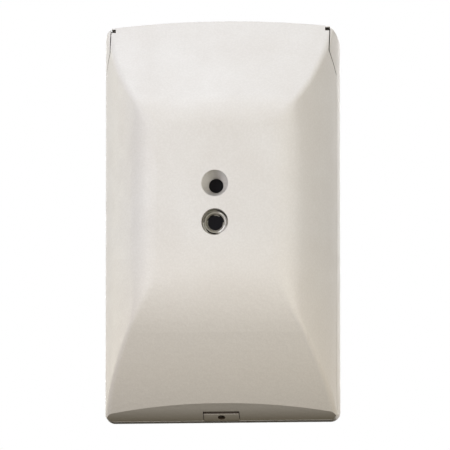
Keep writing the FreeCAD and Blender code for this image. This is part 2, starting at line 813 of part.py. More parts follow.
def make_front_cover(form):
    """Cover moulding: thin shell with recesses, hinge lugs, snap ledge and post."""
    zone = parting_zone("cover_zone", "seam_gap")
    lip = block("cover_lip_zone", ("-" + HALF, HALF), ("hinge_depth", "base_depth + 1"),
                (HINGE_HEIGHT + " + 0.1", TOP + " + 1"))
    behind = cut("cover_behind", zone, lip)
    pockets = [ear_zone("ear_pocket_%d" % index, side, "seam_gap", CHEEK_PLANE)
               for index, side in enumerate((-1, 1))]
    outer = cut("cover_outer", form, behind, *pockets)
    guard_plane = "(%s - wall)" % CHEEK_PLANE
    guards = [ear_zone("ear_guard_%d" % index, side, "seam_gap + wall", guard_plane)
              for index, side in enumerate((-1, 1))]
    cavity = cut("cover_cavity", housing_form("inner_form", "wall"), *guards)
    shell = cut("cover_shell", outer, cavity)
    mic_front = "depth - boss_end"
    grown = [
        rod("mic_boss", "0", "boss_end", "mic_height", "boss_radius", mic_front),
        rod("light_boss", "0", "light_boss_end", "light_height", "boss_radius",
            "depth - light_boss_end"),
        rod("tamper_post", "tamper_side",
            TAMPER_FRONT + " + plunger_exposed + 0.2", "tamper_height",
            "tamper_post_radius", "depth"),
        block("snap_ledge", ("-latch_width / 2 + 0.6", "latch_width / 2 - 0.6"),
              (LEDGE_BACK, LEDGE_BACK + " + ledge_depth"),
              (band_height(LEDGE_BACK + " + ledge_depth", "0.5"), LEDGE_TOP)),
    ]
    lugs = []
    notches = []
    for index, side in enumerate((-1, 1)):
        lug_x = mirrored(("%s - lug_width" % CHEEK_PLANE, CHEEK_PLANE), side)
        lugs.append(rod("lug_%d" % index, lug_x[0], "hinge_depth", HINGE_HEIGHT,
                        "lug_radius", "lug_width", axis="x"))
        lugs.append(block("lug_root_%d" % index, lug_x, ("hinge_depth", "base_depth + 2"),
                          (HINGE_HEIGHT + " - lug_radius", HINGE_HEIGHT + " + lug_radius")))
        rib_x = mirrored(("rib_side - rib_width / 2", "rib_side + rib_width / 2"), side)
        grown.append(block("panel_rib_%d" % index, rib_x, ("depth - wall - rib_reach", "depth"),
                           ("rib_bottom", "rib_top")))
        notch_x = mirrored(("%s - notch_width" % CHEEK_PLANE, CHEEK_PLANE + " + 1"), side)
        notch_low = "(%s - notch_drop)" % TOP
        notches.append(block("corner_notch_%d" % index, notch_x,
                             ("top_edge_depth - notch_depth", "depth"),
                             (notch_low, notch_low + " + notch_height")))
        notches.append(rod("lug_eye_%d" % index, lug_x[0] + " - 1", "hinge_depth",
                           HINGE_HEIGHT, "pin_radius + pin_fit", "lug_width + 2", axis="x"))
        notches.append(block("lug_mouth_%d" % index, (lug_x[0] + " - 1", lug_x[1] + " + 1"),
                             ("hinge_depth - lug_radius - 1", "hinge_depth"),
                             (HINGE_HEIGHT + " - pin_radius + mouth_grip",
                              HINGE_HEIGHT + " + pin_radius - mouth_grip")))
    inside = common("cover_inside", fuse("cover_bosses", *grown), form)
    latch_notch = block("latch_notch",
                        ("-latch_width / 2 - latch_gap", "latch_width / 2 + latch_gap"),
                        ("0", "latch_depth + latch_slot"),
                        ("-height / 2 - 1", band_height("latch_depth + latch_slot",
                                                        "wall + 0.3")))
    recess_floor = "(depth - mic_recess)"
    lens_back = "(depth - light_recess - flange_thickness)"
    holes = [
        latch_notch,
        cone("mic_cone", "0", recess_floor, "mic_height", "mic_hole_radius",
             "mic_rim_radius + (mic_rim_radius - mic_hole_radius) / mic_recess",
             "mic_recess + 1"),
        rod("mic_throat_hole", "0", "boss_end", "mic_height", "mic_hole_radius", "depth"),
        rod("mic_chamber", "0", "boss_end - 1", "mic_height", "cloth_radius + slip",
            CLOTH_FRONT + " - boss_end + 1"),
        rod("light_bore", "0", lens_back, "light_height", "light_rim_radius", "depth"),
        rod("stem_bore", "0", "light_boss_end - 1", "light_height", "stem_radius + slip",
            "depth"),
    ]
    joined = fuse("cover_joined", shell, inside, *lugs)
    return cut("front_cover", joined, *holes, *notches)


def make_acoustic_cloth():
    """Thin disc of cloth glued behind the microphone throat."""
    front = CLOTH_FRONT
    return rod("acoustic_cloth", "0", front + " - cloth_thickness", "mic_height",
               "cloth_radius", "cloth_thickness")


def make_light_pipe():
    """Clear lens: a flange with a raised bead round a well, and a stem to the diode."""
    front = "(depth - light_recess)"
    back = "(%s - flange_thickness)" % front
    shoulder = "(%s - lens_bead)" % front
    return turned("light_pipe", "0", "light_height", [
        ("0", "diode_top + 0.5"),
        ("stem_radius", "diode_top + 0.5"),
        ("stem_radius", back),
        ("light_rim_radius - slip", back),
        ("light_rim_radius - slip", shoulder),
        ("lens_bead_middle + lens_bead", shoulder),
        ("lens_bead_middle + lens_bead * 0.5", front),
        ("lens_bead_middle - lens_bead * 0.5", front),
        ("lens_bead_middle - lens_bead", shoulder),
        ("lens_well_radius", front + " - lens_well"),
        ("0", front + " - lens_well"),
    ])


def make_circuit_board():
    """Board with rounded corners, two screw holes and two peg holes."""
    side = "(board_width / 2)"
    body = slab("circuit_board", rounded(("-" + side, side), ("board_bottom", "board_top"),
                "board_corner_radius"), "board_depth", "board_thickness")
    holes = new_sketch(body, "XZ_Plane", "board_holes", "board_depth")
    for index, (x, z) in enumerate(board_posts()):
        radius = "screw_radius" if index in (0, 3) else "peg_radius"
        draw_circle(holes, x, z, radius + " + 0.15")
    pocket(body, holes, "board_thickness", forward=True)
    return body


def make_board_screws():
    """Two pan-head screws with cross recesses."""
    screws = []
    for index, (x, z) in enumerate(board_posts()):
        if index not in (0, 3):
            continue
        head = BOARD_FRONT
        name = "screw_%d" % index
        blank = turned(name + "_blank", x, z, [
            ("0", head + " - screw_length"),
            ("screw_radius - 0.4", head + " - screw_length"),
            ("screw_radius", head + " - screw_length + 0.8"),
            ("screw_radius", head),
            ("screw_head_radius", head),
            ("screw_head_radius", head + " + screw_head_height * 0.5"),
            ("screw_head_radius * 0.7", head + " + screw_head_height"),
            ("0", head + " + screw_head_height"),
        ])
        slots = []
        for turn, (wide, tall) in enumerate(((1.5, 0.3), (0.3, 1.5))):
            slots.append(block("%s_slot_%d" % (name, turn),
                               ("%s - %g" % (x, wide), "%s + %g" % (x, wide)),
                               (head + " + screw_head_height * 0.4", head + " + 5"),
                               ("%s - %g" % (z, tall), "%s + %g" % (z, tall))))
        screws.append(cut(name, blank, *slots))
    return group("board_screws", screws)


def make_microphone():
    """Microphone can with its sound hole and two leads down to the board."""
    front = "(boss_end - seat_gap - 0.5)"
    back = "(%s - capsule_length)" % front
    can = rod("mic_can", "0", back, "mic_height", "capsule_radius", "capsule_length")
    hole = rod("mic_port", "0", front + " - 0.6", "mic_height", "1", "1")
    leads = [rod("mic_lead_%d" % index, "%d * 1.27" % side, BOARD_FRONT, "mic_height",
                 "0.3", back + " + 0.2 - " + BOARD_FRONT)
             for index, side in enumerate((-1, 1))]
    return cut("microphone_capsule", fuse("mic_joined", can, *leads), hole)


def make_microphone_boot():
    """Rubber sleeve that carries the can and meets the boss of the cover."""
    front = "(boss_end - seat_gap)"
    back = "(%s - 0.5 - capsule_length - slip)" % front
    sleeve = rod("boot_sleeve", "0", BOARD_FRONT, "mic_height", "boot_radius",
                 front + " - " + BOARD_FRONT)
    nest = rod("boot_nest", "0", back, "mic_height", "capsule_radius + slip", "10")
    leads = rod("boot_lead_way", "0", BOARD_FRONT + " - 1", "mic_height", "2", "20")
    return cut("microphone_boot", sleeve, nest, leads)


def make_status_led():
    """Round diode with a flange, a domed top and two leads."""
    radius = "diode_radius"
    lamp = turned("led_lamp", "0", "light_height", [
        ("0", "diode_top - 4.6"),
        ("diode_radius + 0.4", "diode_top - 4.6"),
        ("diode_radius + 0.4", "diode_top - 3.7"),
        (radius, "diode_top - 3.7"),
        (radius, "diode_top - diode_radius", radius, -1),
        ("0", "diode_top"),
    ])
    leads = [block("led_lead_%d" % index, ("%g - 0.25" % x, "%g + 0.25" % x),
                   (BOARD_FRONT, "diode_top - 4.5"),
                   ("light_height - 0.25", "light_height + 0.25"))
             for index, x in enumerate((-0.9, 0.9))]
    return fuse("status_led", lamp, *leads)


def make_battery_cell():
    """Short lithium cylinder with its raised end on the right."""
    can = rod("cell_can", "-cell_length / 2", CELL_DEPTH, "cell_height", "cell_radius",
              "cell_length", axis="x")
    nub = rod("cell_nub", "cell_length / 2 - 0.2", CELL_DEPTH, "cell_height", "nub_radius",
              "nub_length + 0.2", axis="x")
    return fuse("battery_cell", can, nub)


def holder_end(side):
    """Side of the inner face of one end wall of the holder."""
    if side > 0:
        return "(%s + contact_thickness + 0.05)" % TAB_FACE
    return "(-cell_length / 2 - spring_reach)"


def make_battery_holder():
    """Moulded cradle: floor, two rails that follow the cell and two end walls."""
    left = holder_end(-1) + " - holder_wall"
    right = holder_end(1) + " + holder_wall"
    half_height = "(cell_radius + cell_clearance + 1)"
    low = "cell_height - " + half_height
    high = "cell_height + " + half_height
    base = block("holder_rails", (left, right), (BOARD_FRONT, BOARD_FRONT + " + holder_rail"),
                 (low, high))
    ends = []
    for index, side in enumerate((-1, 1)):
        inner = holder_end(side)
        outer = left if side < 0 else right
        span = (outer, inner) if side < 0 else (inner, outer)
        ends.append(block("holder_end_%d" % index, span,
                          (BOARD_FRONT, CELL_DEPTH + " + 5"),
                          ("cell_height - 6.5", "cell_height + 6.5")))
    channel = rod("holder_channel", holder_end(-1), CELL_DEPTH, "cell_height",
                  "cell_radius + cell_clearance",
                  "%s - %s" % (holder_end(1), holder_end(-1)), axis="x")
    window = block("holder_window", ("-cell_length / 5", "cell_length / 5"),
                   (BOARD_FRONT + " + 4", "depth"), (low + " - 1", high + " + 1"))
    body = cut("holder_body", base, channel, window)
    slots = []
    for index, side in enumerate((-1, 1)):
        face = TAB_FACE if side > 0 else holder_end(-1) + " - contact_thickness"
        span = (face + " - 0.04", face + " + contact_thickness + 0.04")
        slots.append(block("holder_slot_%d" % index, span, (BOARD_FRONT + " - 1", "depth"),
                           ("cell_height - contact_width / 2 - 0.1",
                            "cell_height + contact_width / 2 + 0.1")))
    return cut("battery_holder", fuse("holder_joined", body, *ends), *slots)


def make_positive_contact():
    """Flat sheet tab against the raised end of the cell."""
    return block("positive_contact", (TAB_FACE, TAB_FACE + " + contact_thickness"),
                 (BOARD_FRONT + " + holder_floor - 0.6", CELL_DEPTH + " + 4.5"),
                 ("cell_height - contact_width / 2", "cell_height + contact_width / 2"))


def make_negative_contact():
    """Leaf spring bent from sheet, bowed towards the flat end of the cell."""
    wall_side = holder_end(-1)
    root = "(%s - contact_thickness)" % wall_side
    bow = "(-cell_length / 2 - 0.1)"
    low = BOARD_FRONT + " + 0.3"
    body = new_body("negative_contact")
    sketch = new_sketch(body, "XY_Plane", "leaf_plan",
                        "cell_height - contact_width / 2")
    sheet_in = "contact_thickness"
    draw(sketch, [
        (root, "-(%s)" % low),
        (wall_side, "-(%s)" % low),
        (wall_side, "-(%s - 5.5)" % CELL_DEPTH),
        (bow, "-(%s - 1)" % CELL_DEPTH),
        (bow, "-(%s + 1)" % CELL_DEPTH),
        (wall_side, "-(%s + 4.5)" % CELL_DEPTH),
        (root, "-(%s + 4.5)" % CELL_DEPTH),
        ("%s - %s" % (bow, sheet_in), "-(%s + 0.8)" % CELL_DEPTH),
        ("%s - %s" % (bow, sheet_in), "-(%s - 0.8)" % CELL_DEPTH),
        (root, "-(%s - 5.3)" % CELL_DEPTH),
    ])
    pad(body, sketch, "contact_width")
    return body


def make_tamper_switch():
    """Square switch body with a guide hole for its plunger."""
    half = "(tamper_body / 2)"
    body = slab("tamper_switch_body", rounded(
        ("tamper_side - " + half, "tamper_side + " + half),
        ("tamper_height - " + half, "tamper_height + " + half), "0.5"),
        BOARD_FRONT, "tamper_body_height")
    guide = new_sketch(body, "XZ_Plane", "tamper_guide", TAMPER_FRONT)
    draw_circle(guide, "tamper_side", "tamper_height", "plunger_radius + slip")
    pocket(body, guide, "plunger_length - plunger_exposed + 0.2")
    return body


def make_tamper_plunger():
    """Round plunger, pushed in while the cover is closed."""
    start = "(%s + plunger_exposed - plunger_length)" % TAMPER_FRONT
    top = "(%s + plunger_length)" % start
    return turned("tamper_plunger", "tamper_side", "tamper_height", [
        ("0", start),
        ("plunger_radius", start),
        ("plunger_radius", top + " - 0.5"),
        ("plunger_radius - 0.5", top),
        ("0", top),
    ])


def slider_side(index):
    """Side of a slider's centre line."""
    return "(switch_side + (%d - 0.5) * slider_pitch)" % index


def make_switch_body():
    """Block with a slot for each slider."""
    half_x = "(switch_width / 2)"
    half_z = "(switch_length / 2)"
    shape = block("switch_block", ("switch_side - " + half_x, "switch_side + " + half_x),
                  (BOARD_FRONT, SWITCH_FRONT),
                  ("switch_height - " + half_z, "switch_height + " + half_z))
    slots = []
    for index in range(2):
        side = slider_side(index)
        low = SLIDER_FOOT
        slots.append(block("switch_slot_%d" % index,
                           (side + " - slider_width / 2 - slip",
                            side + " + slider_width / 2 + slip"),
                           (SWITCH_FRONT + " - 1.2", SWITCH_FRONT + " + 1"),
                           (low + " - slip",
                            low + " + slider_length + slider_travel + slip")))
    return cut("switch_body", shape, *slots)


def make_switch_slider(index):
    """Small slider at the lower end of its slot."""
    side = slider_side(index)
    low = SLIDER_FOOT
    return block("switch_slider_%d" % (index + 1),
                 (side + " - slider_width / 2", side + " + slider_width / 2"),
                 (SWITCH_FRONT + " - 1.1", SWITCH_FRONT + " + slider_stand"),
                 (low, low + " + slider_length"))


def make_shield():
    """Drawn sheet can over the radio, open at the back."""
    half_x = "(shield_width / 2)"
    half_z = "(shield_length / 2)"
    x = ("shield_side - " + half_x, "shield_side + " + half_x)
    z = ("shield_height - " + half_z, "shield_height + " + half_z)
    can = slab("shield_can", rounded(x, z, "1"), BOARD_FRONT, "shield_depth")
    inner_x = (x[0] + " + shield_sheet", x[1] + " - shield_sheet")
    inner_z = (z[0] + " + shield_sheet", z[1] + " - shield_sheet")
    hollow = slab("shield_hollow", rounded(inner_x, inner_z, "0.7"),
                  BOARD_FRONT + " - 1", "shield_depth + 1 - shield_sheet")
    return cut("radio_shield", can, hollow)


def make_antenna():
    """One bent wire: up from the board, across the top and down the side to a free end."""
    side = value("antenna_side")
    height = value("antenna_height")
    back = value(BOARD_FRONT)
    front = back + value("antenna_rise")
    span = value("antenna_span")
    bend = value("antenna_bend")
    corners = [
        Vector(side, -back, height),
        Vector(side, -front, height),
        Vector(side + span, -front, height),
        Vector(side + span, -front, height - value("antenna_tail")),
    ]
    edges = []
    start = corners[0]
    for corner, after, before in zip(corners[1:-1], corners[2:], corners):
        inward = (corner - before).normalize()
        outward = (after - corner).normalize()
        entry = corner - inward * bend
        leave = corner + outward * bend
        middle = corner + (outward - inward) * bend * (1 - math.sqrt(0.5))
        edges.append(Part.LineSegment(start, entry).toShape())
        edges.append(Part.Arc(entry, middle, leave).toShape())
        start = leave
    edges.append(Part.LineSegment(start, corners[-1]).toShape())
    path = Part.Wire(edges)
    ring = Part.Circle(corners[0], Vector(0, -1, 0), value("antenna_radius")).toShape()
    wire = doc.addObject("Part::Feature", "antenna_wire")
    wire.Shape = path.makePipe(Part.Face(Part.Wire([ring])))
    return wire


def gull_lead(name, x, z, outward, axis):
    """Flat lead that leaves a chip's side and bends down to the board."""
    half = "lead_width / 2"
    low, high = ("0", "lead_reach") if outward > 0 else ("-lead_reach", "0")
    if axis == "x":
        spans = (("%s + %s" % (x, low), "%s + %s" % (x, high)),
                 ("%s - %s" % (z, half), "%s + %s" % (z, half)))
    else:
        spans = (("%s - %s" % (x, half), "%s + %s" % (x, half)),
                 ("%s + %s" % (z, low), "%s + %s" % (z, high)))
    return block(name + "_foot", spans[0], (BOARD_FRONT, BOARD_FRONT + " + 0.2"), spans[1])


def make_chip(name, side, height, width, length, counts, pitch):
    """Chip body with rows of leads on its sides: counts are (left and right, ends)."""
    half_x = "(%s / 2)" % width
    half_z = "(%s / 2)" % length
    solids = [block(name + "_body", ("%s - %s" % (side, half_x), "%s + %s" % (side, half_x)),
                    (BOARD_FRONT, BOARD_FRONT + " + chip_depth"),
                    ("%s - %s" % (height, half_z), "%s + %s" % (height, half_z)))]
    for axis, count in zip("xz", counts):
        for way in (-1, 1):
            for index in range(count):
                offset = "(%g * %s)" % (index - (count - 1) / 2, pitch)
                if axis == "x":
                    x = "%s + %d * (%s - 0.1)" % (side, way, half_x)
                    z = "%s + %s" % (height, offset)
                else:
                    x = "%s + %s" % (side, offset)
                    z = "%s + %d * (%s - 0.1)" % (height, way, half_z)
                label = "%s_%s%d_%d" % (name, axis, way + 1, index)
                solids.append(gull_lead(label, x, z, way, axis))
    return fuse(name, *solids)


def make_crystal():
    """Drawn metal can with round ends, lying on the board."""
    x = ("crystal_side - crystal_width / 2", "crystal_side + crystal_width / 2")
    z = ("crystal_height - crystal_length / 2", "crystal_height + crystal_length / 2")
    return slab("crystal_can", rounded(x, z, "(crystal_width / 2 - 0.05)"), BOARD_FRONT,
                "crystal_depth")


def make_capacitor():
    """Round aluminium can with a crimped groove, on a square foot."""
    top = BOARD_FRONT + " + capacitor_length"
    can = turned("capacitor_can", "capacitor_side", "capacitor_height", [
        ("0", BOARD_FRONT + " + 0.5"),
        ("capacitor_radius", BOARD_FRONT + " + 0.5"),
        ("capacitor_radius", BOARD_FRONT + " + 1.6"),
        ("capacitor_radius - 0.3", BOARD_FRONT + " + 1.9"),
        ("capacitor_radius", BOARD_FRONT + " + 2.2"),
        ("capacitor_radius", top + " - 0.4"),
        ("capacitor_radius - 0.4", top),
        ("0", top),
    ])
    foot = block("capacitor_foot",
                 ("capacitor_side - capacitor_radius - 0.2",
                  "capacitor_side + capacitor_radius + 0.2"),
                 (BOARD_FRONT, BOARD_FRONT + " + 0.7"),
                 ("capacitor_height - capacitor_radius - 0.2",
                  "capacitor_height + capacitor_radius + 0.2"))
    return fuse("storage_capacitor", can, foot)


def make_header():
    """Service header: plastic strip with four square pins."""
    half_z = "(2 * header_pitch)"
    strip = block("header_strip",
                  ("header_side - header_pitch / 2", "header_side + header_pitch / 2"),
                  (BOARD_FRONT, BOARD_FRONT + " + header_pitch"),
                  ("header_height - " + half_z, "header_height + " + half_z))
    pins = []
    for index in range(4):
        z = "header_height + %g * header_pitch" % (index - 1.5)
        pins.append(block("header_pin_%d" % index,
                          ("header_side - header_pin / 2", "header_side + header_pin / 2"),
                          (BOARD_FRONT + " + header_pitch / 2",
                           BOARD_FRONT + " + header_rise"),
                          (z + " - header_pin / 2", z + " + header_pin / 2")))
    return fuse("service_header", strip, *pins)


def make_small_parts(name, places):
    """Chip resistors or capacitors laid flat on the board, in grid steps from the centre."""
    solids = []
    for index, (column, row) in enumerate(places):
        x = "%g * small_pitch" % column
        z = "%g * small_pitch" % row
        solids.append(block("%s_%d" % (name, index),
                            (x + " - small_length / 2", x + " + small_length / 2"),
                            (BOARD_FRONT, BOARD_FRONT + " + small_depth"),
                            (z + " - small_width / 2", z + " + small_width / 2")))
    return group(name, solids)


master = soften_ridges(housing_form("housing_form", "0"))
pieces = [
    make_rear_base(master),
    make_front_cover(master),
    make_acoustic_cloth(),
    make_light_pipe(),
    make_circuit_board(),
    make_board_screws(),
    make_microphone(),
    make_microphone_boot(),
    make_status_led(),
    make_battery_cell(),
    make_battery_holder(),
    make_positive_contact(),
    make_negative_contact(),
    make_tamper_switch(),
    make_tamper_plunger(),
    make_switch_body(),
    make_switch_slider(0),
    make_switch_slider(1),
    make_shield(),
    make_antenna(),
    make_chip("processor", "processor_side", "processor_height", "processor_width",
              "processor_width", (7, 7), "0.8"),
    make_chip("amplifier", "amplifier_side", "amplifier_height", "amplifier_width",
              "amplifier_length", (4, 0), "1.27"),
    make_chip("regulator", "regulator_side", "regulator_height", "2.6", "4.4", (3, 0),
              "1.5"),
    make_crystal(),
    make_capacitor(),
    make_header(),
    make_small_parts("chip_resistors",
                     [(-3, 0), (-3, 1), (-3, -1), (4, 4), (5, 4), (6, 4), (4, 5),
                      (-6, 5), (8, 4), (-2, 5), (3, 3), (8, 11)]),
    make_small_parts("chip_capacitors",
                     [(-4, -2), (-3, -3), (3, 1), (4, 1), (3, 2), (-6, 10), (-6, 11),
                      (9, 0), (5, 1)]),
]
doc.recompute()

faults = [item.Label for item in doc.Objects
          if "Invalid" in item.State or "Error" in item.State]
for piece in pieces:
    if piece.Shape.isNull() or not piece.Shape.isValid():
        faults.append(piece.Label)
if faults:
    raise RuntimeError("These objects failed: " + ", ".join(faults))
for piece in pieces:
    piece.Shape.exportStep("parts/%s.step" % piece.Label)
    box = piece.Shape.BoundBox
    print("%-20s %2d solids %8.0f mm3  x %.1f..%.1f  y %.1f..%.1f  z %.1f..%.1f" % (
        piece.Label, len(piece.Shape.Solids), piece.Shape.Volume, box.XMin, box.XMax,
        box.YMin, box.YMax, box.ZMin, box.ZMax))
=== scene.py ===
import bpy
import bmesh
import math
from mathutils import Matrix, Vector


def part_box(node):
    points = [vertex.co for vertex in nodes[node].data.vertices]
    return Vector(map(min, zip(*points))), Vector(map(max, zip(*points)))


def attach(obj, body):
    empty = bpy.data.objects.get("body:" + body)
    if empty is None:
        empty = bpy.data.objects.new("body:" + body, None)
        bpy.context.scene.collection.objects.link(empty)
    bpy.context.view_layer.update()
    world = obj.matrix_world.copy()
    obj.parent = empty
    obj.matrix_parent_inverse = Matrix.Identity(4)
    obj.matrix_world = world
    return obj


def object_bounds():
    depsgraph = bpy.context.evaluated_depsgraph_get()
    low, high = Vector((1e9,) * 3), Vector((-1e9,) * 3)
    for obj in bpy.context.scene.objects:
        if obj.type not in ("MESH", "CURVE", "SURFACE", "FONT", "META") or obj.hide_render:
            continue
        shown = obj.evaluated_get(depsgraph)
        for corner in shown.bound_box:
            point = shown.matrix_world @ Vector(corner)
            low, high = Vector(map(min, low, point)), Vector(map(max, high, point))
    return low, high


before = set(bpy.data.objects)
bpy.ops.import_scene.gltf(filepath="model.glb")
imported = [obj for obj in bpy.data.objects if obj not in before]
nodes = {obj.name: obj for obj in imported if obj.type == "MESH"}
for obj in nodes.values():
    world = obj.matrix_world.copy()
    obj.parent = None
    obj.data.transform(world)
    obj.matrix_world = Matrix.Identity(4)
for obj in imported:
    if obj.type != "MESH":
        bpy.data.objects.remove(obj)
cad_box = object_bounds()

# Viewpoint.
# The sensor is seen from a little to the right and from below, as it hangs above eye level on
# a wall. A long lens from far off keeps its sides parallel.
SEEN_AZIMUTH = 4.4
SEEN_ELEVATION = -8.5
SEEN_DISTANCE = 4.0
SEEN_SPAN = 0.14232
SEEN_CENTRE = Vector((0.00193, -0.0175, -0.0027))


def direction(azimuth, elevation):
    """Unit vector away from the sensor's front, by two angles in degrees."""
    turn, rise = math.radians(azimuth), math.radians(elevation)
    return Vector((math.sin(turn) * math.cos(rise), -math.cos(turn) * math.cos(rise),
                   math.sin(rise)))


def put_in_scene(name, data):
    """New object made from a mesh, a lamp or a camera."""
    item = bpy.data.objects.new(name, data)
    bpy.context.scene.collection.objects.link(item)
    return item


def aim(item, away):
    """Turns a camera or lamp to look back along the direction away from the sensor."""
    item.rotation_mode = "QUATERNION"
    item.rotation_quaternion = away.to_track_quat("Z", "Y")


bpy.context.scene.view_settings.view_transform = "Standard"
camera = put_in_scene("camera", bpy.data.cameras.new("camera"))
camera.data.lens = camera.data.sensor_width * SEEN_DISTANCE / SEEN_SPAN
camera.data.clip_start = 0.1
camera.data.clip_end = 20
toward_camera = direction(SEEN_AZIMUTH, SEEN_ELEVATION)
camera.location = SEEN_CENTRE + SEEN_DISTANCE * toward_camera
aim(camera, toward_camera)
bpy.context.scene.camera = camera


# Studio.
# A pale table well below the sensor and a white room. The table shows pale, but throws back
# little light, as the photograph's underside is dark.
def feed(tree, item, inputs):
    """Feeds the inputs of a shader node from values or from other sockets."""
    for socket, source in inputs.items():
        if isinstance(source, bpy.types.NodeSocket):
            tree.links.new(source, item.inputs[socket])
        else:
            item.inputs[socket].default_value = source


def node(tree, kind, inputs=None, **fields):
    """Shader node with its fields set and its inputs fed."""
    item = tree.nodes.new("ShaderNode" + kind)
    for field, setting in fields.items():
        setattr(item, field, setting)
    feed(tree, item, inputs or {})
    return item


def reckon(tree, operation, *amounts):
    """Result of one sum on numbers or sockets."""
    return node(tree, "Math", dict(enumerate(amounts)), operation=operation).outputs[0]


def strongest(tree, *amounts):
    """Largest of several numbers."""
    result = amounts[0]
    for amount in amounts[1:]:
        result = reckon(tree, "MAXIMUM", result, amount)
    return result


def linear(red, green, blue):
    """Colour as the eye reads it, 0 to 255, for a shader."""
    parts = [part / 255 for part in (red, green, blue)]
    return [part / 12.92 if part <= 0.04045 else ((part + 0.055) / 1.055) ** 2.4
            for part in parts] + [1.0]


ROOM_LIGHT = 0.06
world = bpy.data.worlds.new("white_room")
bpy.context.scene.world = world
world.use_nodes = True
tree = world.node_tree
tree.nodes.clear()
ray = node(tree, "LightPath").outputs
seen_white = strongest(tree, ray["Is Camera Ray"], ray["Is Glossy Ray"],
                       ray["Is Transmission Ray"])
white = node(tree, "Background", {"Color": (1, 1, 1, 1), "Strength": 1.0}).outputs[0]
dim = node(tree, "Background", {"Color": linear(255, 250, 232), "Strength": ROOM_LIGHT})
mixed = node(tree, "MixShader", {0: seen_white, 1: dim.outputs[0], 2: white})
node(tree, "OutputWorld", {"Surface": mixed.outputs[0]})

TABLE_DROP = 0.30
TABLE_RADIUS = 0.55
table_mesh = bpy.data.meshes.new("table_top")
disc = bmesh.new()
bmesh.ops.create_circle(disc, cap_ends=True, segments=96, radius=TABLE_RADIUS,
                        matrix=Matrix.Translation((0, 0, -TABLE_DROP)))
disc.to_mesh(table_mesh)
disc.free()
table_paint = bpy.data.materials.new("table_paint")
table_paint.use_nodes = True
tree = table_paint.node_tree
tree.nodes.clear()
ray = node(tree, "LightPath").outputs
seen_side = node(tree, "BsdfDiffuse", {"Color": linear(250, 250, 249)}).outputs[0]
hidden_side = node(tree, "BsdfDiffuse", {"Color": linear(66, 62, 56)}).outputs[0]
mixed = node(tree, "MixShader", {0: ray["Is Camera Ray"], 1: hidden_side, 2: seen_side})
node(tree, "OutputMaterial", {"Surface": mixed.outputs[0]})
table_mesh.materials.append(table_paint)
put_in_scene("table_top", table_mesh)

LAMP_DISTANCE = 1.3
# (name, azimuth, elevation, light on a surface that faces it, side in metres, tint)
SOFTBOXES = [("left_softbox", -35, 8, 0.73, 0.7, (0.97, 0.95, 0.97)),
             ("side_softbox", -120, 10, 0.22, 0.7, (1.0, 0.95, 0.72)),
             ("front_softbox", 38, -6, 0.39, 0.7, (1.0, 0.97, 0.82)),
             ("right_softbox", 80, 6, 0.33, 0.7, (1.0, 0.94, 0.93)),
             ("top_softbox", -40, 75, 0.43, 0.6, (0.90, 0.94, 1.0)),
             ("back_softbox", 180, 25, 0.70, 0.9, (1.0, 0.995, 0.985))]
for name, azimuth, elevation, level, side, tint in SOFTBOXES:
    lamp = bpy.data.lights.new(name, "AREA")
    lamp.size = side
    lamp.energy = level * math.pi ** 2 * LAMP_DISTANCE ** 2
    lamp.color = tint
    softbox = put_in_scene(name, lamp)
    away = direction(azimuth, elevation)
    softbox.location = away * LAMP_DISTANCE
    aim(softbox, away)


# Housing: rear base and front cover.
# Both halves are injection moulded in warm white ABS. The mould is spark eroded, so the skin
# has a fine matt grain. Shade is painted into the joints, cracks, latch slot and ear seams and
# onto the down-facing lowest edge, and a warm painted tint of bounce light lies low down.
HOUSING_WHITE = linear(224, 222, 220)
HOUSING_SHADE = linear(219, 216, 213)
# Warm tint painted on the lower part, as bounce light from below
HOUSING_WARM_LIT = linear(227, 221, 213)
WARM_LIT_BELOW = -0.050
UNTINTED_ABOVE = -0.005
SPECK = linear(150, 142, 130)
# Colour of the painted shade in corners and joints
PAINTED_JOINT_SHADE = linear(140, 129, 110)
# Colour of the painted deep shade in cracks, slots and seams
PAINTED_DEEP_SHADE = linear(62, 50, 38)
# Colour of the ejector marks, also used for the painted shade at the lowest edge
GRIME_AND_PAINTED_SHADE = linear(152, 143, 127)
LOWEST = cad_box[0][2]
LOW_SHADE_RISE = 0.0032
SHADE_REACH = 0.0011
DEEP_SHADE_REACH = 0.0020
DRIFT_SIZE = 0.016
FLOW_SIZE = 0.0035
GRAIN_SIZE = 0.00062
GRAIN_HEIGHT = 0.000032
MOULD_EDGE = 0.00016
MICROPHONE_HEIGHT = 0.0081
LIGHT_HEIGHT = -0.0042
RECESS_RADIUS = 0.0042
RECESS_BACK = -0.024
# The latch tongue lies in the slanted band at the bottom, its end face under the slot. Its end
# face and the wall of its small hole are painted dark, as painted shade.
# Sides, depths and heights are from the middle of the wall face.
BAND_ANGLE = math.radians(25.5)
TONGUE_SIDE = 0.0056
TONGUE_END_DEPTHS = (-0.0096, -0.0082)
TONGUE_END_HEIGHTS = (-0.0617, -0.0590)
LATCH_HOLE = (0.0, -0.0066, -0.06264)
LATCH_HOLE_RADII = (0.001165, 0.001190)
LATCH_HOLE_LENGTH = 0.0028
LATCH_HOLE_DEPTHS = (-0.012, -0.0006)
# Gap between each side of the tongue and the cover, where the painted deep shade is kept light
GAP_SIDES = (0.0050, 0.0064)
GAP_DEPTHS = (-0.0080, 0.0)
GAP_TOP = (-0.0585, -0.0580)
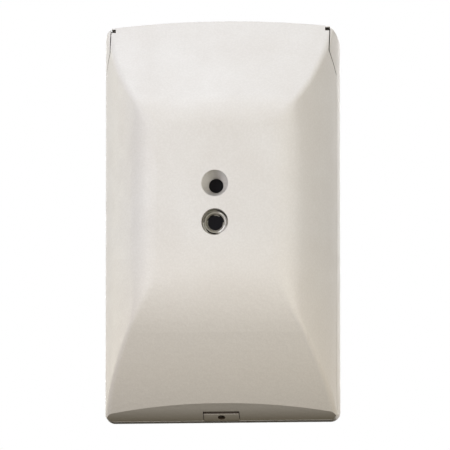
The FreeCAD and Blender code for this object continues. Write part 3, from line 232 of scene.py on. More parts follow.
# The foot of the ears rises 43 degrees to the front from 46.8 mm up, 8 mm off the wall
# A line of painted shade runs along this seam.
SEAM_GAP = 0.00025
SEAM_SHADE_WIDTH = 0.00006
EAR_ANGLE = math.radians(43)
EAR_NORMAL = (0.0, math.sin(EAR_ANGLE), math.cos(EAR_ANGLE))
EAR_SEAM = 0.0468 * math.cos(EAR_ANGLE) - 0.008 * math.sin(EAR_ANGLE)
EAR_SIDES = (0.0346, 0.0348)
EAR_DEPTHS = (-0.020, -0.0080)
EJECTOR_RADIUS = 0.0024
EJECTOR_PINS = [(side * x, z) for x, z in ((0.027, 0.050), (0.019, -0.012), (0.027, -0.044))
                for side in (-1, 1)]


def new_finish(name):
    """Material with its node tree, its surface shader and the place on the piece."""
    material = bpy.data.materials.new(name)
    material.use_nodes = True
    tree = material.node_tree
    place = node(tree, "TexCoord").outputs["Object"]
    return material, tree, tree.nodes["Principled BSDF"], place


def part_of(tree, vector, axis):
    """One of the three parts of a vector."""
    return node(tree, "SeparateXYZ", {"Vector": vector}).outputs[axis]


def noise(tree, place, size, detail=2.0, roughness=0.5):
    """Cloudy pattern whose blotches are about as large as the size given."""
    return node(tree, "TexNoise", {"Vector": place, "Scale": 1 / size, "Detail": detail,
                                   "Roughness": roughness}).outputs["Fac"]


def graded(tree, amount, low, high, start=0.0, end=1.0):
    """Number that runs from low to high as the amount runs from start to end."""
    return node(tree, "MapRange", {"Value": amount, "From Min": start, "From Max": end,
                                   "To Min": low, "To Max": high}).outputs["Result"]


def blended(tree, amount, first, second):
    """Colour between two colours."""
    mix = node(tree, "Mix", {0: amount, 6: first, 7: second}, data_type="RGBA")
    return mix.outputs[2]


def raised(tree, height, distance, normal=None, strength=1.0):
    """Surface normal with a relief of the given depth."""
    inputs = {"Height": height, "Distance": distance, "Strength": strength}
    if normal is not None:
        inputs["Normal"] = normal
    return node(tree, "Bump", inputs).outputs["Normal"]


def eased(tree, radius):
    """Surface normal with the sharp edges eased, as every moulded edge is."""
    return node(tree, "Bevel", {"Radius": radius}, samples=6).outputs["Normal"]


def product(tree, *amounts):
    """Product of several numbers."""
    result = amounts[0]
    for amount in amounts[1:]:
        result = reckon(tree, "MULTIPLY", result, amount)
    return result


def within(tree, amount, low, high, soft):
    """1 where the amount lies between two limits, falling to 0 over a soft edge."""
    return product(tree, graded(tree, amount, 0.0, 1.0, low - soft, low),
                   graded(tree, amount, 1.0, 0.0, high, high + soft))


def span_from(tree, place, centre, keep):
    """Distance from a point, counting only the axes that are kept."""
    aside = node(tree, "VectorMath", {0: place, 1: centre}, operation="SUBTRACT").outputs[0]
    flat = node(tree, "VectorMath", {0: aside, 1: keep}, operation="MULTIPLY").outputs[0]
    return node(tree, "VectorMath", {0: flat}, operation="LENGTH").outputs["Value"]


def latch_painted_shade(tree, place, facing):
    """Painted shade on the end face of the latch tongue and on the wall of its small hole."""
    side, depth, height = [part_of(tree, place, axis) for axis in "XYZ"]
    end_face = product(tree, within(tree, side, -TONGUE_SIDE, TONGUE_SIDE, 0.0002),
                       within(tree, depth, *TONGUE_END_DEPTHS, 0.00008),
                       within(tree, height, *TONGUE_END_HEIGHTS, 0.0001),
                       graded(tree, part_of(tree, facing, "Y"), 1.0, 0.0, -0.95, -0.80))
    slant = node(tree, "VectorRotate", {"Vector": place, "Center": LATCH_HOLE,
                                        "Angle": BAND_ANGLE}, rotation_type="X_AXIS").outputs[0]
    reach = span_from(tree, slant, LATCH_HOLE, (1, 1, 0))
    hole = product(tree, graded(tree, reach, 1.0, 0.0, *LATCH_HOLE_RADII),
                   within(tree, part_of(tree, slant, "Z"), LATCH_HOLE[2] - 0.0001,
                          LATCH_HOLE[2] + LATCH_HOLE_LENGTH, 0.00004),
                   within(tree, depth, *LATCH_HOLE_DEPTHS, 0.0001),
                   graded(tree, height, 0.0, 1.0, LOWEST + 0.0001, LOWEST + 0.0002))
    return strongest(tree, end_face, hole)


def ear_seam_shade(tree, place):
    """Painted shade along the slanted foot of both ears, where the cover meets the base."""
    outward = reckon(tree, "ABSOLUTE", part_of(tree, place, "X"))
    across = node(tree, "VectorMath", {0: place, 1: EAR_NORMAL},
                  operation="DOT_PRODUCT").outputs["Value"]
    return product(tree, within(tree, across, EAR_SEAM - SEAM_GAP - SEAM_SHADE_WIDTH,
                                EAR_SEAM + SEAM_SHADE_WIDTH, 0.00007),
                   graded(tree, outward, 0.0, 1.0, *EAR_SIDES),
                   within(tree, part_of(tree, place, "Y"), *EAR_DEPTHS, 0.0002))


def deep_shade_factor(tree, place):
    """Weight of the painted deep shade: a quarter in the gaps beside the latch tongue, 1
    elsewhere.
    """
    outward = reckon(tree, "ABSOLUTE", part_of(tree, place, "X"))
    gap = product(tree, within(tree, outward, *GAP_SIDES, 0.0001),
                  within(tree, part_of(tree, place, "Y"), *GAP_DEPTHS, 0.0001),
                  graded(tree, part_of(tree, place, "Z"), 1.0, 0.0, *GAP_TOP))
    return graded(tree, gap, 1.0, 0.25)


def ejector_rims(tree, place, facing):
    """Faint rings that the mould's ejector pins leave on the inner and rear faces."""
    rims = strongest(tree, *[within(tree, span_from(tree, place, (x, 0, z), (1, 0, 1)),
                                    EJECTOR_RADIUS, EJECTOR_RADIUS + 0.00005, 0.00012)
                             for x, z in EJECTOR_PINS])
    return product(tree, rims, graded(tree, part_of(tree, facing, "Y"), 0.0, 1.0, 0.9, 0.96))


def grain_mask(tree, place):
    """0 on the polished walls of the two front recesses, 1 elsewhere."""
    behind = graded(tree, part_of(tree, place, "Y"), 0.0, 1.0, RECESS_BACK - 0.0005,
                    RECESS_BACK)
    outside = product(tree, *[graded(tree, span_from(tree, place, (0, 0, height), (1, 0, 1)),
                                     0.0, 1.0, RECESS_RADIUS - 0.0001, RECESS_RADIUS)
                              for height in (MICROPHONE_HEIGHT, LIGHT_HEIGHT)])
    return strongest(tree, behind, outside)


def moulded_white(name, fair, shade, grain_size, grain_height):
    """Matt moulded plastic with spark-eroded grain, painted shade in joints, cracks and on the
    lowest edge, and a warm painted tint low down.
    """
    material, tree, skin, place = new_finish(name)
    facing = node(tree, "TexCoord").outputs["Normal"]
    height, upward = part_of(tree, place, "Z"), part_of(tree, facing, "Z")
    grain = noise(tree, place, grain_size, 3.0, 0.62)
    drift = noise(tree, place, DRIFT_SIZE)
    flow = noise(tree, place, FLOW_SIZE, 3.0)
    sparks = node(tree, "TexVoronoi", {"Vector": place, "Scale": 1 / (grain_size * 2.2)},
                  feature="SMOOTH_F1").outputs["Distance"]
    toned = blended(tree, graded(tree, drift, 0.0, 1.0, 0.3, 0.7), fair, shade)
    # Warmer towards the bottom: painted warm bounce light from below.
    warm_lit = blended(tree, graded(tree, height, 1.0, 0.0, WARM_LIT_BELOW, UNTINTED_ABOVE), toned,
                   HOUSING_WARM_LIT)
    specked = blended(tree, graded(tree, grain, 0.0, 0.07, 0.62, 0.42), warm_lit, SPECK)
    # Painted shade in corners and joints, from ambient occlusion, weaker on faces turned up to
    # the top lamp.
    corner = node(tree, "AmbientOcclusion", {"Distance": SHADE_REACH}, samples=8).outputs["AO"]
    shade_by_facing = graded(tree, upward, 1.0, 0.15, 0.05, 0.45)
    joint_shaded = blended(tree, product(tree, shade_by_facing, graded(tree, corner, 0.75, 0.0, 0.25, 0.8)),
                    specked, PAINTED_JOINT_SHADE)
    # Painted deep shade in cracks and slots, from ambient occlusion.
    crack = node(tree, "AmbientOcclusion", {"Distance": DEEP_SHADE_REACH}, samples=8).outputs["AO"]
    deep_shaded = blended(tree, product(tree, deep_shade_factor(tree, place),
                                 graded(tree, crack, 1.0, 0.0, 0.14, 0.30)),
                   joint_shaded, PAINTED_DEEP_SHADE)
    rims = ejector_rims(tree, place, facing)
    ringed = blended(tree, product(tree, rims, 0.35), deep_shaded, GRIME_AND_PAINTED_SHADE)
    # Painted shade on the down-facing faces at the lowest edge, where the sheen is also lowered.
    low_shade = product(tree, graded(tree, height, 1.0, 0.12, LOWEST, LOWEST + LOW_SHADE_RISE),
                   graded(tree, upward, 1.0, 0.0, -0.85, -0.75))
    low_shaded = blended(tree, low_shade, ringed, GRIME_AND_PAINTED_SHADE)
    # Painted deep shade in the latch slot and along the ear seams.
    slot_and_seam_shade = strongest(tree, latch_painted_shade(tree, place, facing), ear_seam_shade(tree, place))
    grained = grain_mask(tree, place)
    rough = product(tree, graded(tree, flow, 0.44, 0.58, 0.25, 0.75),
                    graded(tree, grained, 0.45, 1.0))
    relief = product(tree, reckon(tree, "MULTIPLY_ADD", sparks, 1.6, grain), grained)
    waves = raised(tree, flow, 0.00002, eased(tree, MOULD_EDGE), 0.5)
    pressed = raised(tree, rims, 0.00006, waves)
    feed(tree, skin, {"Base Color": blended(tree, slot_and_seam_shade, low_shaded, PAINTED_DEEP_SHADE),
                      "Roughness": rough, "IOR": 1.5,
                      "Specular IOR Level": graded(tree, low_shade, 0.42, 0.02),
                      "Normal": raised(tree, relief, grain_height, pressed, 0.8)})
    return material


def dress(material, *node_names):
    """Gives pieces of the frame their finish."""
    for node_name in node_names:
        slots = nodes[node_name].data.materials
        slots.clear()
        slots.append(material)


dress(moulded_white("housing_abs", HOUSING_WHITE, HOUSING_SHADE, GRAIN_SIZE, GRAIN_HEIGHT),
      "front_cover", "rear_base")


# Acoustic cloth.
# A disc of black woven polyester, punched out and glued behind the microphone's throat. It
# keeps dust out and lets sound through.
CLOTH_THREAD = 0.00022
material, tree, skin, place = new_finish("black_weave")
across, along = [node(tree, "TexWave", {"Vector": place, "Scale": 1 / CLOTH_THREAD / 3.2},
                      bands_direction=axis).outputs["Fac"] for axis in "XZ"]
woven = strongest(tree, across, along)
fuzz = noise(tree, place, 0.0001)
feed(tree, skin, {"Base Color": blended(tree, product(tree, woven, fuzz), linear(4, 4, 6),
                                        linear(20, 18, 23)),
                  "Roughness": graded(tree, fuzz, 0.7, 0.95), "Specular IOR Level": 0.25,
                  "Normal": raised(tree, woven, 0.00006)})
dress(material, "acoustic_cloth")


# Light pipe.
# Clear moulded acrylic with a stepped front face and a polished stem, pressed into the lower
# recess. Its rim is painted pale, as the white housing lit through it, with painted highlight
# arcs and painted dark arcs; its core is painted near black, as painted shade down the stem.
LENS_CORE = 0.00225
LENS_EDGE = 0.00255
# (near and far radius in mm, start and stop angle in degrees) of the painted highlight arcs
# and the painted dark arcs on the clear rim
PAINTED_GLINT_ARCS = [(3.25, 3.60, -5, 62), (3.00, 3.80, -62, -22), (3.62, 3.85, -176, -140)]
PAINTED_DARK_ARCS = [(3.35, 3.62, -135, -90), (2.20, 2.75, 8, 55), (2.20, 2.60, 105, 155),
             (3.85, 4.05, 25, 75)]
material, tree, skin, place = new_finish("clear_acrylic")
lens_low, lens_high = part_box("light_pipe")
lens_axis = ((lens_low.x + lens_high.x) / 2, 0, (lens_low.z + lens_high.z) / 2)
aside = node(tree, "VectorMath", {0: place, 1: lens_axis}, operation="SUBTRACT").outputs[0]
turn = reckon(tree, "ARCTAN2", part_of(tree, aside, "Z"), part_of(tree, aside, "X"))
reach = span_from(tree, place, lens_axis, (1, 0, 1))


def lens_arcs(arcs):
    """Painted arcs of highlight and of shade on the clear rim; each is two radii in millimetres
    and two angles in degrees.
    """
    return strongest(tree, *[
        product(tree, within(tree, reach, near / 1000, far / 1000, 0.00010),
                within(tree, turn, math.radians(start), math.radians(stop), 0.30))
        for near, far, start, stop in arcs])


painted_glints = lens_arcs(PAINTED_GLINT_ARCS)
painted_dark_core = strongest(tree, graded(tree, reach, 1.0, 0.0, LENS_CORE, LENS_EDGE),
                 lens_arcs(PAINTED_DARK_ARCS))
streaks = noise(tree, place, 0.0012)
# Pale painted rim, standing in for the lit white housing seen through it, with painted highlight
# arcs.
painted_rim_tint = blended(tree, painted_glints,
                   blended(tree, streaks, linear(158, 153, 141), linear(196, 192, 181)),
                   linear(246, 245, 242))
# Near-black painted core, standing in for the shade down the stem.
painted_core_tint = blended(tree, streaks, linear(5, 4, 7), linear(16, 14, 20))
clear = product(tree, graded(tree, painted_dark_core, 0.30, 0.10), graded(tree, painted_glints, 1.0, 0.1))
feed(tree, skin, {"Base Color": blended(tree, painted_dark_core, painted_rim_tint, painted_core_tint),
                  "Roughness": graded(tree, streaks, 0.05, 0.13), "IOR": 1.49,
                  "Transmission Weight": clear,
                  "Specular IOR Level": graded(tree, painted_dark_core, 0.6, 0.08),
                  "Normal": raised(tree, streaks, 0.00002, eased(tree, 0.00025), 0.4)})
dress(material, "light_pipe")


# Circuit board.
# Glass-fibre laminate with green lacquer over copper. The copper shows as slightly raised and
# paler lines under the lacquer, and the bare edge of the board is straw coloured.
LACQUER = linear(24, 92, 52)
LACQUER_OVER_COPPER = linear(48, 128, 72)
LACQUER_SHADE = linear(18, 70, 42)
BARE_LAMINATE = linear(176, 168, 110)
TRACK_PITCH = 0.0022
TRACK_HALF, TRACK_EDGE = 0.00016, 0.00022
material, tree, skin, place = new_finish("board_lacquer")
cells = node(tree, "VectorMath", {0: place, 1: (TRACK_PITCH,) * 3}, operation="SNAP").outputs[0]
lanes = [graded(tree, reckon(tree, "PINGPONG", part_of(tree, place, axis), TRACK_PITCH / 2),
                1.0, 0.0, TRACK_HALF, TRACK_EDGE) for axis in "XZ"]
chosen = reckon(tree, "GREATER_THAN",
                node(tree, "TexWhiteNoise", {"Vector": cells}).outputs["Value"], 0.5)
track = node(tree, "Mix", {0: chosen, 2: lanes[0], 3: lanes[1]}).outputs[0]
weave = noise(tree, place, 0.0009)
cloudy = blended(tree, graded(tree, weave, 0.0, 0.25, 0.35, 0.7),
                 blended(tree, track, LACQUER, LACQUER_OVER_COPPER), LACQUER_SHADE)
facing = node(tree, "NewGeometry").outputs["True Normal"]
face = graded(tree, reckon(tree, "ABSOLUTE", part_of(tree, facing, "Y")), 0.0, 1.0, 0.4, 0.6)
feed(tree, skin, {"Base Color": blended(tree, face, BARE_LAMINATE, cloudy),
                  "Roughness": graded(tree, weave, 0.26, 0.40),
                  "Normal": raised(tree, track, 0.00003)})
dress(material, "circuit_board")
BOARD_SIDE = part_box("circuit_board")[0].y


# The meshes of the added pieces are given in millimetres from here on, the finishes in metres
def seat(node_name):
    """Middle of a piece on the board, sideways and up, in millimetres."""
    low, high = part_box(node_name)
    return round(500 * (low.x + high.x), 2), round(500 * (low.z + high.z), 2)


def half_size(node_name):
    """Half the width and half the height of a piece on the board, in millimetres."""
    low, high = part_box(node_name)
    return round(500 * (high.x - low.x), 2), round(500 * (high.z - low.z), 2)


def top_of(node_name):
    """How far a piece stands off the board, in millimetres."""
    return (BOARD_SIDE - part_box(node_name)[0].y) * 1000


def on_board(x, z, rise=0.0):
    """Place on the component side of the board; x, z and rise are in millimetres."""
    return Vector((x / 1000, BOARD_SIDE - rise / 1000, z / 1000))


def add_piece(name, shape, material):
    """New piece from a mesh, with its finish; the base carries them all."""
    mesh = bpy.data.meshes.new(name)
    bmesh.ops.recalc_face_normals(shape, faces=shape.faces)
    shape.to_mesh(mesh)
    shape.free()
    mesh.materials.append(material)
    piece = put_in_scene(name, mesh)
    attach(piece, "base")


def join_rings(shape, rings, smooth=False):
    """Walls between closed rings of points, each ring joined to the next."""
    for low, high in zip(rings, rings[1:]):
        for step in range(len(low)):
            after = (step + 1) % len(low)
            shape.faces.new((low[step], low[after], high[after], high[step])).smooth = smooth


def add_turned(shape, x, z, profile, stretch=(1.0, 1.0), steps=20):
    """Turned form that stands on the board; the profile is (radius, rise) in millimetres."""
    turns = [2 * math.pi * step / steps for step in range(steps)]
    rings = [[shape.verts.new(on_board(x + stretch[0] * radius * math.cos(turn),
                                       z + stretch[1] * radius * math.sin(turn), rise))
              for turn in turns] for radius, rise in profile]
    join_rings(shape, rings, smooth=True)
    shape.faces.new(rings[-1])
    shape.faces.new(rings[0])


def add_slab(shape, x, z, rise, round_by=0.0):
    """Block between two sides, two heights and two rises, with its edges rounded if told."""
    corners = [shape.verts.new(on_board(x[i], z[j], rise[k]))
               for k in (0, 1) for j in (0, 1) for i in (0, 1)]
    faces = [shape.faces.new([corners[index] for index in quad]) for quad in
             ((0, 1, 3, 2), (4, 5, 7, 6), (0, 1, 5, 4), (2, 3, 7, 6), (0, 2, 6, 4),
              (1, 3, 7, 5))]
    if round_by:
        edges = list(dict.fromkeys(edge for face in faces for edge in face.edges))
        bmesh.ops.bevel(shape, geom=edges, offset=round_by / 1000, segments=2,
                        affect="EDGES", profile=0.5)


# Plated holes and test pads.
# Rings of bright solder-tinned copper stand just proud of the lacquer round small drilled
# holes, and a row of round gilt pads beside them is where the board is tested.
VIA_PLACES = [(-27.5, 33), (-17, 33.5), (-6.5, 36), (-4.5, 20), (-6.8, 16.5), (-17, 14.5),
              (-3.5, 2.2), (6.5, 20.5), (12, 21.5), (17.5, 27), (26.5, 28), (18.5, 14.5),
              (27.5, 12), (20, 1.5), (11.5, -1.8), (8.5, -7.5), (-9.5, -11), (-14, -6.5),
              (-26.5, -5), (-27, -18), (-26, -28), (26, -18), (27.5, -27), (14, 9.5)]
VIA_PROFILE = [(0.46, -0.02), (0.46, 0.03), (0.42, 0.05), (0.25, 0.05), (0.2, 0.02),
               (0.2, 0.01)]
PAD_PLACES = [(26.2, -4 - 2.6 * step) for step in range(4)]
PAD_PROFILE = [(0.78, -0.02), (0.78, 0.03), (0.74, 0.05)]


def plated_metal(name, bright, dull, roughness, mottle):
    """Metal with a thin plating, slightly mottled and brushed by handling."""
    material, tree, skin, place = new_finish(name)
    cloud = noise(tree, place, mottle, 3.0)
    marks = noise(tree, place, mottle / 6)
    feed(tree, skin, {
        "Base Color": blended(tree, graded(tree, cloud, 0.0, 1.0, 0.3, 0.7), bright, dull),
        "Roughness": graded(tree, cloud, roughness * 0.8, roughness * 1.25, 0.3, 0.7),
        "Normal": raised(tree, marks, 0.000008, eased(tree, 0.00008), 0.5),
        "Metallic": 1.0})
    return material


solder = plated_metal("solder", linear(208, 209, 208), linear(176, 178, 179), 0.24, 0.0007)
gilt = plated_metal("gilt", linear(226, 188, 112), linear(202, 162, 88), 0.27, 0.0009)
vias, pads = bmesh.new(), bmesh.new()
for x, z in VIA_PLACES:
    add_turned(vias, x, z, VIA_PROFILE, steps=16)
for x, z in PAD_PLACES:
    add_turned(pads, x, z, PAD_PROFILE, steps=24)
add_piece("plated_holes", vias, solder)
add_piece("test_pads", pads, gilt)


# Printed outlines.
# Thin lines of white ink, screen printed on the lacquer, show where each component goes.
INK_LINE = 0.16
INK_RISE = 0.025
# (piece, left and right side from its middle, lower and upper side, gap in the upper line)
PRINTED_FRAMES = [("processor", (-5.6, 5.6), (-5.6, 5.6), 0.5),
                  ("amplifier", (-3.4, 3.4), (-2.9, 2.9), 0.5),
                  ("regulator", (-2.8, 2.8), (-2.7, 2.7), 0.4),
                  ("crystal_can", (-2.8, 2.8), (-5.8, 5.8), 0.0),
                  ("storage_capacitor", (-4.0, 4.0), (-4.0, 4.0), 0.9),
                  ("service_header", (-1.9, 1.9), (-5.8, 5.8), 0.0),
                  ("switch_body", (-4.0, 4.0), (-5.5, 5.5), 0.0),
                  ("battery_holder", (-21.5, 22.4), (-10.4, 10.4), 3.0),
                  ("tamper_switch_body", (-4.1, 4.1), (-4.1, 4.1), 0.6),
                  ("radio_shield", (-10.2, 10.2), (-7.6, 7.6), 0.0)]
white_ink, tree, skin, place = new_finish("white_ink")
patch = noise(tree, place, 0.0006, 3.0)
feed(tree, skin, {"Base Color": blended(tree, graded(tree, patch, 0.0, 0.5, 0.45, 0.75),
                                        linear(226, 230, 224), linear(150, 178, 152)),
                  "Roughness": graded(tree, patch, 0.5, 0.7),
                  "Normal": raised(tree, patch, 0.00001)})
printed = bmesh.new()
for piece, sides, heights, gap in PRINTED_FRAMES:
    middle_x, middle_z = seat(piece)
    x = [middle_x + side for side in sides]
    z = [middle_z + height for height in heights]
    middle = (x[0] + x[1]) / 2
    for bar_x, bar_z in (((x[0], x[1]), (z[0], z[0] + INK_LINE)),
                         ((x[0], x[0] + INK_LINE), z), ((x[1] - INK_LINE, x[1]), z),
                         ((x[0], middle - gap), (z[1] - INK_LINE, z[1])),
                         ((middle + gap, x[1]), (z[1] - INK_LINE, z[1]))):
        add_slab(printed, bar_x, bar_z, (-0.01, INK_RISE))
add_piece("printed_outlines", printed, white_ink)


# Board screws.
# Two pan-head steel screws with cross recesses, zinc plated, that hold the board to its posts.
dress(plated_metal("zinc_plate", linear(196, 198, 200), linear(168, 172, 178), 0.34, 0.0016),
      "board_screws")


# Microphone and its boot.
# The microphone is a small aluminium can with a ring of black felt on its face. A soft black
# rubber boot holds it against the boss of the cover, so that no sound leaks in from behind.
def fine_black(name, dark, light, roughness, grain, relief):
    """Black rubber, plastic or felt with a fine grain and a slight bloom."""
    material, tree, skin, place = new_finish(name)
    fine = noise(tree, place, grain, 3.0, 0.6)
    bloom = noise(tree, place, grain * 14)
    feed(tree, skin, {
        "Base Color": blended(tree, graded(tree, bloom, 0.0, 1.0, 0.35, 0.7), dark, light),
        "Roughness": graded(tree, bloom, roughness * 0.88, roughness * 1.1, 0.3, 0.7),
        "Normal": raised(tree, fine, relief, eased(tree, 0.0001), 0.7)})
    return material


# (radius, rise over the can's face)
FELT_PROFILE = [(1.02, -0.02), (3.7, -0.02), (3.7, 0.06), (3.55, 0.1), (1.15, 0.1),
                (1.02, 0.06)]
dress(plated_metal("drawn_aluminium", linear(205, 206, 208), linear(182, 184, 187), 0.38,
                   0.002), "microphone_capsule")
dress(fine_black("boot_rubber", linear(26, 26, 27), linear(38, 38, 39), 0.72, 0.0004,
                 0.00002), "microphone_boot")
felt = bmesh.new()
add_turned(felt, *seat("acoustic_cloth"),
           [(radius, top_of("microphone_capsule") + rise) for radius, rise in FELT_PROFILE],
           steps=40)
add_piece("microphone_felt", felt,
          fine_black("felt_black", linear(16, 16, 17), linear(30, 30, 31), 0.9, 0.0003,
                     0.00006))


# Status lamp.
# A round lamp of tinted epoxy, cast on its two leads, under the stem of the light pipe.
LEAD_SPREAD = 0.9
SOLDER_CONE = [(0.62, -0.02), (0.5, 0.05), (0.38, 0.16), (0.3, 0.34), (0.27, 0.5)]
material, tree, skin, place = new_finish("lamp_epoxy")
swirl = noise(tree, place, 0.0011)
feed(tree, skin, {"Base Color": blended(tree, swirl, linear(196, 38, 34), linear(224, 66, 54)),
                  "Roughness": graded(tree, swirl, 0.12, 0.22),
                  "Transmission Weight": 0.55, "IOR": 1.53})
dress(material, "status_led")
lamp_x, lamp_z = seat("status_led")
lamp_joints = bmesh.new()
for side in (-LEAD_SPREAD, LEAD_SPREAD):
    add_turned(lamp_joints, lamp_x + side, lamp_z, SOLDER_CONE)
add_piece("lamp_solder", lamp_joints, solder)


# Battery cell.
# A short lithium cell in a shrunk plastic sleeve, plain and unprinted, with bare steel ends.
# The sleeve is drawn in over the rims of the can.
cell_low, cell_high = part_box("battery_cell")
CELL_HALF = -cell_low.x * 1000
# Bare steel nub at the right end, in metres
CELL_NUB = 0.0011
CELL_RADIUS = (cell_high.z - cell_low.z) * 500
CELL_HEIGHT = (cell_high.z + cell_low.z) * 500
CELL_RISE = (BOARD_SIDE - (cell_low.y + cell_high.y) / 2) * 1000
SLEEVE_THICKNESS = 0.06
# (how far in from the sleeve's skin, how far out from the can's end)
LIP_PROFILE = [(0.0, -0.9), (0.0, -0.15), (0.1, 0.0), (0.35, 0.1), (0.9, 0.12), (1.35, 0.06),
               (1.4, -0.02)]
material, tree, skin, place = new_finish("shrunk_sleeve")
facing = node(tree, "NewGeometry").outputs["Normal"]
bare_end = reckon(tree, "GREATER_THAN", reckon(tree, "ABSOLUTE", part_of(tree, facing, "X")),
                  0.5)
nub = reckon(tree, "GREATER_THAN", part_of(tree, place, "X"), cell_high.x - CELL_NUB)
bare = strongest(tree, bare_end, nub)
creases = noise(tree, place, 0.004, 3.0)
scuffs = noise(tree, place, 0.0030, 3.0)
sleeve = blended(tree, graded(tree, creases, 0.0, 1.0, 0.3, 0.75), linear(38, 74, 128),
                 linear(46, 88, 146))
feed(tree, skin, {"Base Color": blended(tree, bare, sleeve, linear(196, 196, 192)),
                  "Metallic": bare,
                  "Roughness": graded(tree, scuffs, 0.20, 0.32, 0.3, 0.75),
                  "Normal": raised(tree, creases, 0.00006, None, 0.25)})
dress(material, "battery_cell")
sleeve_lip, tree, skin, place = new_finish("sleeve_lip")
puckers = noise(tree, place, 0.0012)
feed(tree, skin, {"Base Color": blended(tree, puckers, linear(34, 68, 120),
                                        linear(48, 90, 148)),
                  "Roughness": graded(tree, puckers, 0.22, 0.36),
                  "Normal": raised(tree, puckers, 0.00008, None, 0.5)})
lips = bmesh.new()
for side in (-1, 1):
    rings = []
    for inward, outward in LIP_PROFILE:
        reach = CELL_RADIUS + SLEEVE_THICKNESS - inward
        rings.append([lips.verts.new(on_board(
            side * (CELL_HALF + outward), CELL_HEIGHT + reach * math.cos(math.radians(turn)),
            CELL_RISE + reach * math.sin(math.radians(turn)))) for turn in range(0, 360, 6)])
    join_rings(lips, rings, smooth=True)
add_piece("sleeve_lips", lips, sleeve_lip)


# Battery holder and its contacts.
# The cradle is moulded in glass-filled nylon. A flat tab and a bowed leaf of nickel-plated
# spring steel stand in slots at its two ends.
dress(fine_black("holder_nylon", linear(30, 30, 31), linear(44, 44, 45), 0.5, 0.0003,
                 0.00002), "battery_holder")
dress(plated_metal("nickel_sheet", linear(204, 200, 190), linear(180, 176, 166), 0.27,
                   0.0018), "positive_contact", "negative_contact")


# Tamper switch.
# A black switch body with a white nylon plunger that a post of the cover holds down.
dress(fine_black("switch_black", linear(27, 27, 29), linear(38, 38, 40), 0.46, 0.0002,
                 0.000012), "tamper_switch_body")
white_nylon = moulded_white("white_nylon", linear(232, 232, 228), linear(226, 225, 219),
                            0.0003, 0.00001)
dress(white_nylon, "tamper_plunger")


# Sensitivity switch.
# A red block of two slide switches, with a white slider in each slot.
material, tree, skin, place = new_finish("switch_red")
cloud = noise(tree, place, 0.0015)
fine = noise(tree, place, 0.0002)
feed(tree, skin, {"Base Color": blended(tree, cloud, linear(158, 30, 30), linear(182, 42, 38)),
                  "Roughness": graded(tree, cloud, 0.36, 0.5),
                  "Normal": raised(tree, fine, 0.00001, eased(tree, 0.0001))})
dress(material, "switch_body")
dress(white_nylon, "switch_slider_1", "switch_slider_2")


# Radio: shield can and antenna.
# The can is drawn from tin-plated sheet and soldered down over the radio. The antenna is one
# length of tinned copper wire, bent up from the board.
SHIELD_X, SHIELD_Z = seat("radio_shield")
SHIELD_HALF_X, SHIELD_HALF_Z = half_size("radio_shield")
VENT_PITCH = 2.0
VENT_RADIUS = 0.5
# Steps from the middle vent to the last one, sideways and up
VENTS_X, VENTS_Z = 3, 1
# Places of the solder joints from the can's middle, along its long and its short sides
JOINTS_X = (-7, -3, 3, 7)
JOINTS_Z = (-4, 0, 4)
# (radius, rise over the can's face)
VENT_RIM = [(0.68, -0.02), (0.66, 0.03), (0.58, 0.06), (0.50, 0.04), (0.47, 0.004)]
ANTENNA_FOOT = (-21.5, 38.5)
FOOT_CONE = [(1.1, -0.02), (0.95, 0.08), (0.75, 0.3), (0.6, 0.7), (0.52, 1.1)]


def vented_tin():
    """Tin plate with three rows of seven small round vents in its face, painted near black as the
    shade in the holes.
    """
    material = plated_metal("tin_plate", linear(202, 204, 204), linear(176, 179, 180), 0.3,
                            0.003)
    tree = material.node_tree
    skin = tree.nodes["Principled BSDF"]
    place = node(tree, "TexCoord").outputs["Object"]
    pitch, radius, margin = VENT_PITCH / 1000, VENT_RADIUS / 1000, 0.0009
    spots, fields = [], []
    for axis, middle, steps in (("X", SHIELD_X / 1000, VENTS_X), ("Z", SHIELD_Z / 1000, VENTS_Z)):
        part = part_of(tree, place, axis)
        shifted = reckon(tree, "SUBTRACT", part, middle - (steps + 0.5) * pitch)
        spots.append(reckon(tree, "WRAP", shifted, pitch, 0.0))
        reach = steps * pitch + margin
        fields.append(within(tree, part, middle - reach, middle + reach, 0.0001))
    spot = node(tree, "CombineXYZ", {"X": spots[0], "Y": spots[1]}).outputs[0]
    off = span_from(tree, spot, (pitch / 2, pitch / 2, 0), (1, 1, 0))
    painted_vent_shade = product(tree, graded(tree, off, 1.0, 0.0, radius, radius + 0.00005), *fields)
    bright = skin.inputs["Base Color"].links[0].from_socket
    # The vents are painted near black, as painted shade inside the holes.
    feed(tree, skin, {"Base Color": blended(tree, painted_vent_shade, bright, linear(12, 12, 12)),
                      "Metallic": graded(tree, painted_vent_shade, 1.0, 0.0)})
    return material


vented = vented_tin()
dress(vented, "radio_shield")
dress(plated_metal("copper_wire", linear(196, 132, 92), linear(172, 108, 70), 0.3, 0.0012),
      "antenna_wire")
rim = [(radius, top_of("radio_shield") + rise) for radius, rise in VENT_RIM]
vent_rims = bmesh.new()
for column in range(-VENTS_X, VENTS_X + 1):
    for row in range(-VENTS_Z, VENTS_Z + 1):
        add_turned(vent_rims, SHIELD_X + VENT_PITCH * column, SHIELD_Z + VENT_PITCH * row, rim,
                   steps=16)
add_piece("vent_rims", vent_rims, vented)
shield_joints = bmesh.new()
for x in JOINTS_X:
    for z in (-SHIELD_HALF_Z, SHIELD_HALF_Z):
        add_turned(shield_joints, SHIELD_X + x, SHIELD_Z + z, SOLDER_CONE, (1.6, 0.7))
for z in JOINTS_Z:
    for x in (-SHIELD_HALF_X, SHIELD_HALF_X):
        add_turned(shield_joints, SHIELD_X + x, SHIELD_Z + z, SOLDER_CONE, (0.7, 1.6))
add_turned(shield_joints, *ANTENNA_FOOT, FOOT_CONE, steps=28)
add_piece("shield_solder", shield_joints, solder)


